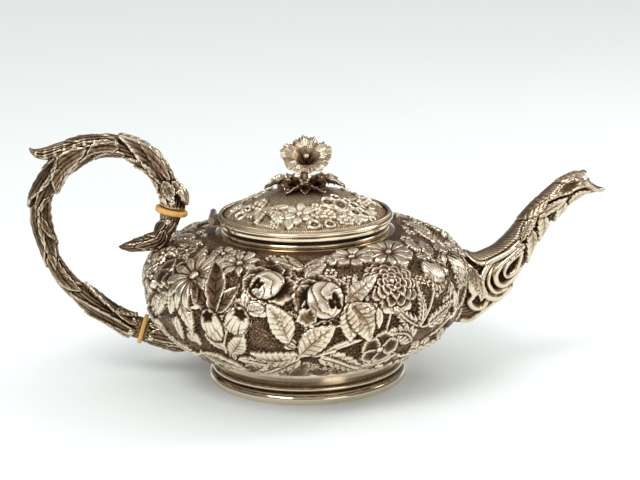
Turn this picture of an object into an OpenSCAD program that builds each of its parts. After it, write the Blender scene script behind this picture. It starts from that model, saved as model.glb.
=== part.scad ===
// Silver teapot with a hinged lid, in millimetres.
// +X points along the spout, +Z is up, and the origin is the centre of the foot on the table.

/* [Body] */
// Radius of the body at its widest
belly_r = 80.6; // [78:0.2:83]
// Height of the widest ring above the table
belly_z = 56.3; // [55:0.1:58]
// Rise of the shoulder curve above the belly
shoulder_h = 22.6; // [21.6:0.1:23.6]
// Drop of the lower curve below the belly
bowl_h = 47; // [46:0.1:48]
// Squareness of the shoulder curve, 2 is an ellipse
shoulder_power = 1.97; // [1.9:0.01:2.1]
// Squareness of the lower curve
bowl_power = 2.45; // [2.3:0.01:2.6]
// Thickness of the raised sheet
wall = 1.2; // [1:0.1:1.6]

/* [Foot and neck] */
// Outer radius of the foot where it meets the body
foot_top_r = 45.8; // [45:0.1:46.5]
// Reach of the foot's flange past its top
foot_flange = 4.2; // [3.6:0.1:5.5]
// Width of the foot's seat under the body
foot_seat = 2; // [1.5:0.1:3]
// Inner radius of the neck
neck_r = 39.2; // [38.6:0.1:39.6]
// Width of the collar's foot on the shoulder
collar_foot_w = 5.8; // [5.4:0.1:6.4]
// Width of the band that the lid rests on
collar_band_w = 3.7; // [3.4:0.1:4]
// Height of the collar above the shoulder
collar_h = 6.33; // [6:0.05:6.9]

/* [Lid] */
// Space between the closed lid and the collar
lid_gap = 0.3; // [0.2:0.05:0.4]
// Overhang of the lid's rim past the collar's band
lid_overhang = 1.1; // [0.8:0.1:1.4]
// Thickness of the lid's rim
lid_rim_h = 2; // [1.6:0.1:2.2]
// Width of the rim outside the dome
rim_ledge = 3; // [2.6:0.1:3.4]
// Rise of the dome above the rim
dome_h = 13.4; // [12:0.1:15]
// Thickness of the dome's sheet
dome_wall = 0.9; // [0.7:0.1:1.2]
// Depth of the flange inside the neck
bezel_h = 4.5; // [3:0.1:6]
// Thickness of the flange
bezel_wall = 1; // [0.8:0.1:1.4]
// Space round the flange inside the neck
bezel_clearance = 0.8; // [0.6:0.05:1]
// Radius of the rope wire on the rim
bead_r = 0.85; // [0.6:0.05:0.95]
// Diameter of the steam vent
vent_d = 2; // [1.5:0.1:3]

/* [Ornament] */
// Height of the raised flowers on the body
flower_lift = 1.4; // [0.8:0.1:1.8]
// Height of the raised leaves on the body
leaf_lift = 0.9; // [0.5:0.1:1.2]
// Height of the raised flowers and leaves on the lid
lid_lift = 0.8; // [0.5:0.1:1]

/* [Finial] */
// Radius of the open flower
flower_r = 13; // [12:0.1:15]
// Depth of the open flower
flower_h = 9.6; // [8:0.1:11]
// Lean of the flower away from upright
flower_lean = 33; // [20:1:40]
// Height of the stem's top above the dome
stem_h = 9.1; // [8:0.1:11]
// Radius of the stem
stem_r = 2; // [1.8:0.1:2.4]
// Reach of the leaves from the stem
leaf_reach = 19.5; // [17:0.5:21]
// Number of leaves round the stem
leaf_count = 5; // [4:1:6]

/* [Hinge] */
// Distance of the hinge line outside the lid's rim
hinge_out = 2.2; // [2:0.1:2.6]
// Height of the hinge line above the rim's lower face
hinge_rise = 1.15; // [1:0.05:1.3]
// Radius of the knuckles
knuckle_r = 1.65; // [1.55:0.05:1.7]
// Length of the whole barrel
barrel_l = 20; // [18:0.5:21]
// Length of the middle knuckle
middle_l = 7; // [6:0.5:8]
// Side gap between knuckles
knuckle_gap = 0.3; // [0.2:0.05:0.4]
// Radius of the hinge pin
hinge_pin_r = 0.7; // [0.6:0.05:0.8]

/* [Spout] */
// Thickness of the spout's wall
spout_wall = 1.3; // [1:0.1:1.5]
// Diameter of each strainer hole
strainer_d = 3; // [2:0.1:3.4]
// Distance between strainer holes
strainer_pitch = 5.4; // [5:0.1:6]

/* [Handle] */
// Length of the peg on each side of an insulator
peg_l = 7.5; // [6.5:0.1:8]
// Radius of the pegs
peg_r = 3; // [2.5:0.1:3.4]
// Radius of the pins through the pegs
pin_r = 0.9; // [0.7:0.1:1.1]
// Thickness of the upper insulator
upper_disc_h = 3; // [2.5:0.1:3.5]
// Thickness of the lower insulator
lower_disc_h = 2.5; // [2:0.1:3]

/* [Hidden] */

silver = "#c9c7c1";
ivory = "#e6d9a8";
fit = 0.03;              // radial clearance of pegs and pins in their holes
arc_steps = 16;          // straight steps that make a quarter of the body's curve
round_fn = 96;
tube_sides = 24;

foot_r = foot_top_r + foot_flange;
foot_in_r = foot_top_r - foot_seat;
collar_foot_r = neck_r + collar_foot_w;
collar_band_r = neck_r + collar_band_w;
collar_z0 = shoulder_z(collar_foot_r);  // where the collar lands on the shoulder
collar_top_z = collar_z0 + collar_h;
lid_rim_r = collar_band_r + lid_overhang;
lid_z = collar_top_z + lid_gap;         // lower face of the lid's rim
dome_r = lid_rim_r - rim_ledge;
dome_z0 = lid_z + lid_rim_h;            // where the dome stands on the rim
bezel_r = neck_r - bezel_clearance;
hinge_x = lid_rim_r + hinge_out;
hinge_z = lid_z + hinge_rise;
dome_power = 2.1;
dome_taper = 1.45;

// A station of a curved limb is [x, z, radius in the XZ plane, radius along Y].
// These stations give x as the distance outside the belly, on the spout's side (1) or the handle's (-1).
function beside(side, rows) = [for (r = rows) [side * (belly_r + r[0]), r[1], r[2], r[3]]];

spout_outer = beside(1, [
    [-7, 44.3, 21.2, 15.6], [-2.1, 45.6, 18.6, 14.8], [4.2, 47.2, 15.6, 13.4], [10.4, 50, 12.8, 11.8],
    [15.8, 54.2, 10.9, 10.6], [20.1, 58.6, 9.2, 9.6], [23.8, 63.7, 7.8, 8.6], [27.2, 68.8, 6.8, 7.8],
    [31.5, 75, 6.4, 7.2], [36, 80.8, 6.2, 6.8], [41.6, 86.6, 6.1, 6.5], [48, 91.8, 6.3, 6.5],
    [54.6, 95.8, 6, 6.3], [60, 97.4, 5.7, 5.8], [70.5, 98.6, 5.4, 4.6]]);
// The channel runs past both ends of the casting.
overrun = 3;
spout_inner = [for (i = [0 : len(spout_outer) - 1])
    spout_outer[i] + [i == 0 ? -overrun : i == len(spout_outer) - 1 ? overrun : 0, 0, 0, 0]];
mouth_c = [belly_r + 69.7, 104];        // centre of the round scoop that cuts the mouth
mouth_r = 11.4;
strainer_z = 44;                        // height of the middle row of strainer holes
strainer_rows = 5;

upper_c = [-(belly_r - 14.1), 86];      // centre of the upper insulator in the XZ plane
upper_dir = [0.238, 0.971];             // its axis, pointing into the handle
upper_half = [8, 7.2];                  // half widths of its disc, across and along Y
lower_c = [-(belly_r + 2.4), 24.9];
lower_dir = [-0.951, 0.308];
lower_half = [7.5, 7];

function along(c, dir, d, side = 0) = c + d * dir + side * [dir[1], -dir[0]];
// Stations given by distance along an insulator's axis, offset across it and the two radii.
function on_axis(c, dir, rows) = [for (r = rows) concat(along(c, dir, r[0], r[1]), [r[2], r[3]])];

// Each limb starts in the middle of an insulator, and the insulator's own space is cut from it.
handle_line = concat(
    on_axis(upper_c, upper_dir, [[0, 0, 6.6, 6], [7, 0, 6.7, 6]]),
    beside(-1, [
    [-14.9, 94, 5.8, 5.6], [-13.1, 98.4, 5.3, 5.4], [-9.8, 105, 5.4, 5.4], [-3.8, 112.1, 5.7, 5.6],
    [4.3, 117, 5.8, 5.8], [11.5, 119.2, 5.8, 6], [20, 119.2, 5.8, 6.2], [28, 117.2, 6.2, 6.2],
    [38, 111, 6.6, 6], [45.4, 102, 6, 5.6], [50.2, 93.5, 5.6, 5.4], [51.5, 85.3, 5.2, 5.2],
    [50.5, 77, 4.7, 5],
    [48.3, 69.3, 4.6, 4.8], [45.8, 61, 4.4, 4.8], [41.5, 53, 4.8, 5], [35.6, 46, 5, 5.2],
    [27.6, 39.3, 5.3, 5.4], [19, 33.4, 5.3, 5.4]]),
    on_axis(lower_c, lower_dir, [[8.8, 0.4, 5.3, 5.5], [4.6, 0, 6, 5.8], [0, 0, 6.3, 6]]));
// The thumb leaf springs from the back of the arch and runs out level.
thumb_line = beside(-1, [
    [14, 120.4, 3.2, 4.6], [26, 120.8, 3.8, 5.4], [38, 118.8, 3.4, 5.2], [46, 117.9, 2.8, 4.2],
    [51, 118.8, 1.9, 2.8], [53.6, 119.8, 0.9, 1.2]]);
upper_socket_line = concat(
    on_axis(upper_c, upper_dir, [[0, 0, 6.2, 5.9], [-6, 0, 5.7, 5.6], [-10.5, -1.6, 5.6, 5.6]]),
    beside(-1, [[-6, 71.4, 6.2, 6], [2, 69, 4.6, 5], [7, 67.9, 2.8, 3.2], [12, 67.7, 0.9, 1]]));
lower_socket_line = concat(
    on_axis(lower_c, lower_dir, [[0, 0, 6.8, 6.1], [-5, 0, 7.2, 6.6]]),
    beside(-1, [[-8, 22.4, 7.8, 7.4], [-15, 20.8, 8, 8], [-23, 20.4, 7, 7]]));

// Distances of the pins from their insulator's centre, along its axis and across it.
upper_pins = [[5.4, 0], [-4.6, 0]];
lower_pins = [[5.2, -1.6], [-5.2, -1.6]];
pin_reach = 6.6;         // half length of a pin, to the underside of its heads
pin_head_r = pin_r + 0.5;
pin_head_h = 0.5;

dome_steps = 18;
dome_points = [for (k = [0 : dome_steps]) let (r = dome_r * (1 - k / dome_steps)) [r, dome_z(r)]];
finial_z = dome_z0 + dome_h;            // top of the dome
stem_top_z = finial_z + stem_h;
stud_r = 1.5;
stud_l = 6.4;
washer_h = 0.7;
nut_h = 2.6;
leaf_h = 1.1;
finial_collar_h = 1.7;

// Height of a superellipse of half width r_max and height h above its widest ring.
function bulge(r, r_max, h, power) = h * pow(1 - pow(min(r / r_max, 1), power), 1 / power);
function bowl_z(r) = belly_z - bulge(r, belly_r, bowl_h, bowl_power);
function shoulder_z(r) = belly_z + bulge(r, belly_r, shoulder_h, shoulder_power);
function dome_z(r) = dome_z0 + dome_h * pow(1 - pow(min(r / dome_r, 1), dome_power), dome_taper);

// Points of a quarter curve, evenly spread by angle, from the axis out to r_max.
function quarter(r_max, power) = [for (k = [0 : arc_steps]) r_max * pow(sin(90 * k / arc_steps), 2 / power)];

bowl_points = concat(
    [for (r = quarter(belly_r, bowl_power)) if (r < foot_in_r - 1) [r, bowl_z(r)]],
    [for (r = [foot_in_r, foot_top_r]) [r, bowl_z(r)]],
    [for (r = quarter(belly_r, bowl_power)) if (r > foot_top_r + 1) [r, bowl_z(r)]]);
shoulder_radii = quarter(belly_r, shoulder_power);
shoulder_points = concat(
    [for (k = [arc_steps - 1 : -1 : 0]) let (r = shoulder_radii[k])
        if (r > collar_foot_r + 1) [r, shoulder_z(r)]],
    [for (r = [collar_foot_r, neck_r]) [r, shoulder_z(r)]]);
inner_r = belly_r - wall;
inner_shoulder = quarter(inner_r, shoulder_power);
inner_bowl = quarter(inner_r, bowl_power);
inner_points = concat(
    [for (r = [neck_r]) [r, belly_z + bulge(r, inner_r, shoulder_h - wall, shoulder_power)]],
    [for (k = [0 : arc_steps - 1]) let (r = inner_shoulder[k])
        if (r > neck_r + 2) [r, belly_z + bulge(r, inner_r, shoulder_h - wall, shoulder_power)]],
    [for (k = [arc_steps : -1 : 0]) let (r = inner_bowl[k])
        [r, belly_z - bulge(r, inner_r, bowl_h - wall, bowl_power)]]);

// Garland on half of the body: angle from the front, latitude above the widest ring, radius.
body_flowers = [
    [-14, 25, 12], [7, 13, 12], [-30, 40, 8.5], [-44, 24, 13.5], [-60, 22, 6.5], [-43, 46, 5.5],
    [32, 21, 12], [43, 44, 10.5], [23, 45, 8], [55, 22, 6.5], [71, 21, 6.5], [26, -21, 8.5],
    [-75, 31, 5.5], [-68, 7, 5], [-73, -19, 5], [66, -17, 5]];
// Its leaves: angle and latitude of the stalk and of the tip, then the width.
body_leaves = [
    [-2, -22, 10, -5, 10], [-6, -14, -12, 0, 10], [-5, -22, -19, -21, 8], [15, 2, 20, -14, 11],
    [-33, -12, -34, 2, 9], [-24, -8, -20, 9, 9], [-48, -1, -41, -14, 8], [-56, -1, -61, -12, 8],
    [39, -23, 30, -12, 8], [45, -13, 57, -7, 8], [41, -10, 41, -1, 7], [0, -26, -18, -44, 10],
    [2, -26, 20, -41, 10], [-43, -29, -26, -39, 9], [-48, -33, -65, -22, 9], [40, -34, 64, -31, 8],
    [30, -46, 56, -48, 9], [-54, 35, -60, 47, 7], [60, 39, 66, 48, 7], [1, 35, 10, 47, 8],
    [-2, 38, -15, 47, 8], [-38, -49, -60, -46, 9]];
// Spray on half of the lid, seen from above with the front towards -Y: centre and radius.
lid_flowers = [[14, -16.5, 5.5], [26, -17, 5.5], [19.5, -29, 4.5], [9, -27.5, 5], [-2.6, -28, 6.5],
    [12.5, -35.3, 2.6], [4.5, -35.8, 2.8], [-21.5, -13, 4.2], [-32, -10, 4], [27.5, -6.5, 3.2]];
// Its leaves: stalk, tip and width.
lid_leaves = [[-16, -20, -12, -33, 5], [-9, -31, -7.5, -38.5, 5], [-20, -19, -24, -28, 6],
    [31, -22, 26, -27, 4.5], [31, -9, 36, -13, 4.5], [-33, -5, -37, 1, 5]];

// Place on the body's skin at a latitude, as radius and height, and the direction of its outward normal.
function skin(latitude) =
    let (low = latitude < 0, power = 2 / (low ? bowl_power : shoulder_power), rise = low ? -bowl_h : shoulder_h)
    [belly_r * pow(cos(latitude), power), belly_z + rise * pow(abs(sin(latitude)), power)];
function skin_normal(latitude) = let (d = skin(latitude + 1) - skin(latitude - 1)) [d[1], -d[0]] / norm(d);

// Catmull-Rom curve through a list of stations, with the given steps between stations.
function spline(p, i, t) =
    let (last = len(p) - 1, a = p[max(i - 1, 0)], b = p[i], c = p[min(i + 1, last)], d = p[min(i + 2, last)])
    0.5 * (2 * b + (c - a) * t + (2 * a - 5 * b + 4 * c - d) * t * t + (3 * b - a - 3 * c + d) * t * t * t);
function smooth(p, steps) = concat(
    [for (i = [0 : len(p) - 2]) for (k = [0 : steps - 1]) spline(p, i, k / steps)], [p[len(p) - 1]]);

// A solid swept along stations that lie in the XZ plane, with a grown or shrunk section.
module limb(stations, steps = 2, grow = 0) {
    line = smooth(stations, steps);
    last = len(line) - 1;
    rings = [for (i = [0 : last])
        let (s = line[i], d = line[min(i + 1, last)] - line[max(i - 1, 0)], size = norm([d[0], d[1]]),
            nx = -d[1] / size, nz = d[0] / size)
        [for (k = [0 : tube_sides - 1]) let (a = 360 * k / tube_sides, u = (s[2] + grow) * cos(a))
            [s[0] + nx * u, (s[3] + grow) * sin(a), s[1] + nz * u]]];
    points = [for (ring = rings) for (p = ring) p];
    sides = [for (i = [0 : last - 1]) for (k = [0 : tube_sides - 1])
        let (a = i * tube_sides + k, b = i * tube_sides + (k + 1) % tube_sides)
        each [[a, b, b + tube_sides], [a, b + tube_sides, a + tube_sides]]];
    caps = [[for (k = [tube_sides - 1 : -1 : 0]) k], [for (k = [0 : tube_sides - 1]) last * tube_sides + k]];
    polyhedron(points, concat(sides, caps), convexity = 6);
}

module turned(points) {
    rotate_extrude($fn = round_fn) polygon(points);
}

module body_envelope() {
    turned(concat(bowl_points, shoulder_points, [[0, shoulder_z(neck_r)]]));
}

// A cylinder along Y through a point of the XZ plane.
module cross_pin(place, r, half) {
    translate([place[0], 0, place[1]]) rotate([90, 0, 0])
        cylinder(r = r, h = 2 * half, center = true, $fn = 24);
}

// Puts its children at an insulator's centre, with +Z along the insulator's axis.
module at_insulator(c, dir) {
    translate([c[0], 0, c[1]]) rotate([0, atan2(dir[0], dir[1]), 0]) children();
}

module pin_holes(c, dir, pins) {
    for (p = pins) cross_pin(along(c, dir, p[0], p[1]), pin_r + fit, 20);
}

// The space of an insulator's disc, and of its peg on the side of the limb.
module insulator_space(c, dir, disc_h, side) {
    at_insulator(c, dir) {
        translate([0, 0, -side * belly_r / 4 + side * disc_h / 2])
            cube([belly_r / 2, belly_r / 2, belly_r / 2], center = true);
        mirror([0, 0, side < 0 ? 1 : 0]) cylinder(r = peg_r + fit, h = peg_l + 1, $fn = 48);
    }
}

// Puts its children on the body's skin, with +Z outward, -X up and +Y to the right.
module on_skin(angle, latitude) {
    p = skin(latitude);
    n = skin_normal(latitude);
    rotate([0, 0, angle - 90]) translate([p[0], 0, p[1]]) rotate([0, atan2(n[0], n[1]), 0]) children();
}

// A solid of few faces whose skin stands lift outside the body's.
module swollen_body(lift) {
    top = 64;
    turned(concat([[0, skin(-top)[1] - lift]],
        [for (latitude = [-top : 8 : top]) skin(latitude) + lift * skin_normal(latitude)],
        [[0, skin(top)[1]]]));
}

// A plain leaf of six sides that points along +X from its stalk.
module leaf_blank(reach, width) {
    polygon([[0, 0], [reach * 0.25, width / 2], [reach * 0.65, width * 0.42], [reach, 0],
        [reach * 0.65, -width * 0.42], [reach * 0.25, -width / 2]]);
}

module body_flower_blanks() {
    sunk = 6;
    slant = 0.3;
    for (half = [0, 180]) for (f = body_flowers) on_skin(f[0] + half, f[1])
        translate([0, 0, -sunk])
            cylinder(r1 = f[2] + slant * sunk, r2 = f[2] - slant * sunk, h = 2 * sunk, $fn = 12);
}

module body_leaf_blanks() {
    sunk = 6;
    for (half = [0, 180]) for (f = body_leaves)
        let (middle = (f[1] + f[3]) / 2, right = (f[2] - f[0]) * PI / 180 * skin(middle)[0],
            rise = sign(f[3] - f[1]) * norm(skin(f[3]) - skin(f[1])), reach = norm([right, rise]))
        on_skin((f[0] + f[2]) / 2 + half, middle) rotate([0, 0, atan2(right, -rise)])
            translate([-reach / 2, 0, -sunk]) linear_extrude(2 * sunk) leaf_blank(reach, f[4]);
}

// The shell with its raised flowers and leaves, and the strainer's rows of three and four holes in turn.
module body_shell() {
    color(silver) difference() {
        union() {
            body_envelope();
            intersection() {
                swollen_body(flower_lift);
                body_flower_blanks();
            }
            intersection() {
                swollen_body(leaf_lift);
                body_leaf_blanks();
            }
        }
        turned(concat([[0, belly_z + shoulder_h + 1], [neck_r, belly_z + shoulder_h + 1]], inner_points));
        for (row = [0 : strainer_rows - 1]) let (last = row % 2 == 0 ? 2 : 3) for (hole = [0 : last])
            translate([belly_r / 2, (hole - last / 2) * strainer_pitch,
                strainer_z + (row - (strainer_rows - 1) / 2) * strainer_pitch])
                rotate([0, 90, 0]) cylinder(d = strainer_d, h = belly_r, $fn = 24);
    }
}

module foot_ring() {
    flange_h = 4.2;
    bead_z = 7.5;
    color(silver) turned([[foot_r - 3.6, 0], [foot_r - 0.8, 0], [foot_r, 0.9], [foot_r, 3],
        [foot_r - 0.7, flange_h],
        [foot_r - 2.3, flange_h + 1], [foot_r - 2.6, flange_h + 1.7], [foot_r - 1.5, bead_z - 0.7],
        [foot_r - 1.4, bead_z], [foot_r - 1.8, bead_z + 0.7], [foot_r - 2.9, bead_z + 1.3],
        [foot_top_r + 0.5, bead_z + 3], [foot_top_r, bead_z + 5], [foot_top_r, bowl_z(foot_top_r)],
        [foot_in_r, bowl_z(foot_in_r)], [foot_in_r, bead_z], [foot_in_r + 1, flange_h - 1]]);
}

// The collar sweeps in from the shoulder, swells into a bead and ends in the lid's seat.
module neck_collar() {
    steps = [[1.3, 0.163], [0.9, 0.273], [1.3, 0.384], [2.1, 0.431], [2.1, 0.558], [1.2, 0.652], [0, 0.716]];
    band = [for (p = steps)
        [collar_band_r - p[0], collar_z0 + p[1] * collar_h]];
    color(silver) turned(concat(
        [[neck_r, shoulder_z(neck_r)], [collar_foot_r, collar_z0],
            [collar_foot_r - 1.4, collar_z0 + 0.055 * collar_h],
            [collar_foot_r - 2.6, collar_z0 + 0.142 * collar_h]],
        band,
        [[collar_band_r, collar_top_z - 0.3], [collar_band_r - 0.3, collar_top_z], [neck_r, collar_top_z]]));
}

module spout() {
    color(silver) difference() {
        limb(spout_outer);
        limb(spout_inner, grow = -spout_wall);
        body_envelope();
        cross_pin(mouth_c, mouth_r, 20);
    }
}

module upper_socket() {
    color(silver) difference() {
        limb(upper_socket_line);
        body_envelope();
        insulator_space(upper_c, upper_dir, upper_disc_h, -1);
        pin_holes(upper_c, upper_dir, upper_pins);
    }
}

module lower_socket() {
    color(silver) difference() {
        limb(lower_socket_line);
        body_envelope();
        insulator_space(lower_c, lower_dir, lower_disc_h, -1);
        pin_holes(lower_c, lower_dir, lower_pins);
    }
}

// An oval disc with a peg on each side, crossed by two pins.
module insulator(c, dir, disc_h, half, pins) {
    color(ivory) difference() {
        at_insulator(c, dir) union() {
            intersection() {
                cube([2 * half[0], 2 * half[1], disc_h], center = true);
                cylinder(r = half[0], h = disc_h, center = true, $fn = 64);
            }
            cylinder(r = peg_r, h = 2 * peg_l, center = true, $fn = 48);
        }
        pin_holes(c, dir, pins);
    }
}

module upper_insulator() {
    insulator(upper_c, upper_dir, upper_disc_h, upper_half, upper_pins);
}

module lower_insulator() {
    insulator(lower_c, lower_dir, lower_disc_h, lower_half, lower_pins);
}

module handle_grip() {
    color(silver) difference() {
        union() {
            limb(handle_line);
            limb(thumb_line);
        }
        insulator_space(upper_c, upper_dir, upper_disc_h, 1);
        insulator_space(lower_c, lower_dir, lower_disc_h, 1);
        pin_holes(upper_c, upper_dir, upper_pins);
        pin_holes(lower_c, lower_dir, lower_pins);
    }
}

// One pin with a flat round head at each end.
module insulator_pin(place) {
    cross_pin(place, pin_r, pin_reach + pin_head_h / 2);
    for (side = [-1, 1]) translate([place[0], side * (pin_reach + pin_head_h / 2), place[1]])
        rotate([90, 0, 0]) cylinder(r = pin_head_r, h = pin_head_h, center = true, $fn = 24);
}

module insulator_pins() {
    color(silver) {
        for (p = upper_pins) insulator_pin(along(upper_c, upper_dir, p[0], p[1]));
        for (p = lower_pins) insulator_pin(along(lower_c, lower_dir, p[0], p[1]));
    }
}

// A stretch of hinge barrel between two places on the Y axis.
module knuckle(y0, y1) {
    translate([-hinge_x, y1, hinge_z]) rotate([90, 0, 0]) cylinder(r = knuckle_r, h = y1 - y0, $fn = 48);
}

module hinge_hole(clearance) {
    translate([-hinge_x, 0, hinge_z]) rotate([90, 0, 0])
        cylinder(r = hinge_pin_r + clearance, h = barrel_l + 2, center = true, $fn = 32);
}

module hinge_collar_leaf() {
    inner_y = middle_l / 2 + knuckle_gap;
    plate_z0 = collar_top_z - 1.8;
    color(silver) difference() {
        union() {
            for (side = [0, 1]) mirror([0, side, 0]) {
                knuckle(inner_y, barrel_l / 2);
                translate([-hinge_x - 1, inner_y, plate_z0])
                    cube([2, barrel_l / 2 - inner_y, hinge_z - plate_z0 - 0.8]);
            }
            translate([-hinge_x - 1, -barrel_l / 2, plate_z0]) cube([6, barrel_l, 1.1]);
        }
        cylinder(r = collar_band_r, h = 200, $fn = round_fn);
        hinge_hole(fit);
    }
}

module hinge_lid_leaf() {
    color(silver) difference() {
        union() {
            knuckle(-middle_l / 2, middle_l / 2);
            translate([-hinge_x, -middle_l / 2, hinge_z - 0.5]) cube([4, middle_l, 1.1]);
        }
        cylinder(r = lid_rim_r, h = 200, $fn = round_fn);
        hinge_hole(2 * fit);
    }
}

module hinge_pin() {
    color(silver) translate([-hinge_x, 0, hinge_z]) rotate([90, 0, 0]) {
        cylinder(r = hinge_pin_r, h = barrel_l + 0.6, center = true, $fn = 32);
        for (side = [-1, 1]) translate([0, 0, side * (barrel_l / 2 + 0.3)])
            cylinder(r = hinge_pin_r + 0.4, h = 0.5, center = true, $fn = 32);
    }
}

module lid_rim() {
    color(silver) turned([[bezel_r - bezel_wall, lid_z], [lid_rim_r - 0.6, lid_z], [lid_rim_r, lid_z + 0.6],
        [lid_rim_r, lid_z + lid_rim_h - 0.6], [lid_rim_r - 0.6, lid_z + lid_rim_h],
        [bezel_r - bezel_wall, lid_z + lid_rim_h]]);
}

module lid_bezel() {
    color(silver) turned([[bezel_r - bezel_wall, lid_z - bezel_h], [bezel_r - 0.3, lid_z - bezel_h],
        [bezel_r, lid_z - bezel_h + 0.5], [bezel_r, lid_z], [bezel_r - bezel_wall, lid_z]]);
}

// A rope wire, flat where it is soldered to the rim.
module lid_bead_wire() {
    wire_r = dome_r + bead_r + 0.15;
    color(silver) rotate_extrude($fn = round_fn) intersection() {
        translate([wire_r, dome_z0 + 0.8 * bead_r]) circle(r = bead_r, $fn = 24);
        translate([wire_r - bead_r, dome_z0]) square([2 * bead_r, 2 * bead_r]);
    }
}

// The lid's raised flowers and leaves: upright blanks under a raised copy of the dome.
module lid_ornament() {
    steps = 12;
    intersection() {
        turned(concat([[0, dome_z0 + 0.1]],
            [for (k = [steps : -1 : 0]) let (r = dome_r * k / steps) [r, dome_z(r) + lid_lift]]));
        for (half = [0, 180]) rotate([0, 0, half]) {
            for (f = lid_flowers) translate([f[0], f[1], dome_z0])
                cylinder(r = f[2], h = 2 * dome_h, $fn = 10);
            for (f = lid_leaves)
                translate([f[0], f[1], dome_z0]) rotate([0, 0, atan2(f[3] - f[1], f[2] - f[0])])
                linear_extrude(2 * dome_h) leaf_blank(norm([f[2] - f[0], f[3] - f[1]]), f[4]);
        }
    }
}

module lid_dome() {
    edge_r = bezel_r - 0.2;
    inner = [for (k = [0 : dome_steps]) let (r = edge_r * k / dome_steps)
        [r, max(dome_z(r) - dome_wall, dome_z0)]];
    color(silver) difference() {
        union() {
            turned(concat([[0, dome_z0]], dome_points));
            lid_ornament();
        }
        turned(concat([[0, dome_z0 - 1], [edge_r, dome_z0 - 1]], [for (k = [dome_steps : -1 : 0]) inner[k]]));
        translate([0, 0, finial_z - 5]) cylinder(r = stud_r + fit, h = 10, $fn = 32);
        translate([0, 24, dome_z0]) cylinder(d = vent_d, h = 20, $fn = 24);
    }
}

// Outline of one leaf that points along +X, with notched edges.
module leaf_outline() {
    steps = 12;
    upper = [for (k = [0 : steps]) let (t = k / steps)
        [leaf_reach * t, (5.2 * sin(180 * pow(t, 0.8)) + 0.4) * (k % 3 == 0 ? 0.86 : 1)]];
    polygon(concat([for (p = upper) p], [for (k = [steps : -1 : 0]) [upper[k][0], -upper[k][1]]]));
}

module finial_leaves() {
    base_r = 6;
    color(silver) intersection() {
        difference() {
            turned([[stem_r + fit, dome_z(base_r)], [base_r, dome_z(base_r)], [13, finial_z - 1.4],
                [leaf_reach, finial_z - 0.6], [leaf_reach + 1, finial_z + 0.8], [13, finial_z + 0.5],
                [base_r, finial_z + leaf_h], [stem_r + fit, finial_z + leaf_h]]);
            turned(concat([[0, dome_z0]], [for (k = [0 : dome_steps]) dome_points[k]]));
        }
        translate([0, 0, finial_z - 8]) union() {
            cylinder(r = base_r + 0.4, h = 20, $fn = 48);
            for (k = [0 : leaf_count - 1])
                rotate(360 * k / leaf_count + 12) linear_extrude(20) leaf_outline();
        }
    }
}

module finial_collar() {
    color(silver) turned([[stem_r + fit, finial_z + leaf_h], [3.2, finial_z + leaf_h],
        [3.8, finial_z + leaf_h + finial_collar_h / 2], [3.2, finial_z + leaf_h + finial_collar_h],
        [stem_r + fit, finial_z + leaf_h + finial_collar_h]]);
}

module stem_solid() {
    shoulder = finial_z + 0.05;
    turned([[0, finial_z - stud_l], [stud_r, finial_z - stud_l], [stud_r, shoulder], [stem_r, shoulder],
        [stem_r, stem_top_z - 2], [stem_r + 0.7, stem_top_z + 0.6], [0, stem_top_z + 0.6]]);
}

module finial_stem() {
    color(silver) stem_solid();
}

// Puts its children at the top of the stem, with +Z along the flower's axis.
module at_flower() {
    translate([0, 0, stem_top_z]) rotate([flower_lean, 0, 0]) children();
}

module finial_flower() {
    lobes = 5;
    lobed = [for (k = [0 : 71]) let (a = 5 * k, r = flower_r * (0.94 + 0.06 * cos(lobes * (a - 90))))
        r * [cos(a), sin(a)]];
    color(silver) difference() {
        at_flower() intersection() {
            rotate_extrude($fn = 72) polygon([[0, -0.6], [2.6, -0.6], [4.6, 0.8],
                [0.6 * flower_r, 0.42 * flower_h],
                [0.84 * flower_r, 0.8 * flower_h], [flower_r, flower_h - 0.4], [flower_r, flower_h + 0.8],
                [0.78 * flower_r, flower_h], [0.5 * flower_r, 0.62 * flower_h], [3, 2.8], [0, 2.8]]);
            linear_extrude(2 * flower_h, center = true) polygon(lobed);
        }
        stem_solid();
    }
}

module finial_pistil() {
    color(silver) at_flower() rotate_extrude($fn = 32)
        polygon([[0, 2.8], [0.8, 2.8], [0.7, 6.4], [1.3, 7.2], [1.3, 8], [0.7, 8.6], [0, 8.7]]);
}

module finial_washer() {
    top = dome_z(4) - dome_wall;
    color(silver) turned([[stud_r + fit, top - washer_h], [4, top - washer_h], [4, top],
        [stud_r + fit, top]]);
}

module finial_nut() {
    top = dome_z(4) - dome_wall - washer_h;
    color(silver) translate([0, 0, top - nut_h]) difference() {
        cylinder(r = 3.2, h = nut_h, $fn = 6);
        translate([0, 0, -1]) cylinder(r = stud_r + fit, h = nut_h + 2, $fn = 32);
    }
}

body_shell();
foot_ring();
neck_collar();
spout();
upper_socket();
lower_socket();
upper_insulator();
lower_insulator();
handle_grip();
insulator_pins();
hinge_collar_leaf();
hinge_pin();
hinge_lid_leaf();
lid_rim();
lid_bezel();
lid_bead_wire();
lid_dome();
finial_leaves();
finial_collar();
finial_stem();
finial_flower();
finial_pistil();
finial_washer();
finial_nut();
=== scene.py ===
"""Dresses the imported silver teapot: chased sheet, cast limbs, turned mouldings, studio and camera.

All sizes are millimetres until a mesh is made, where they become metres. The pot stands with the centre of
its foot at the origin, +X runs along the spout and +Z is up.
"""

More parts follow.
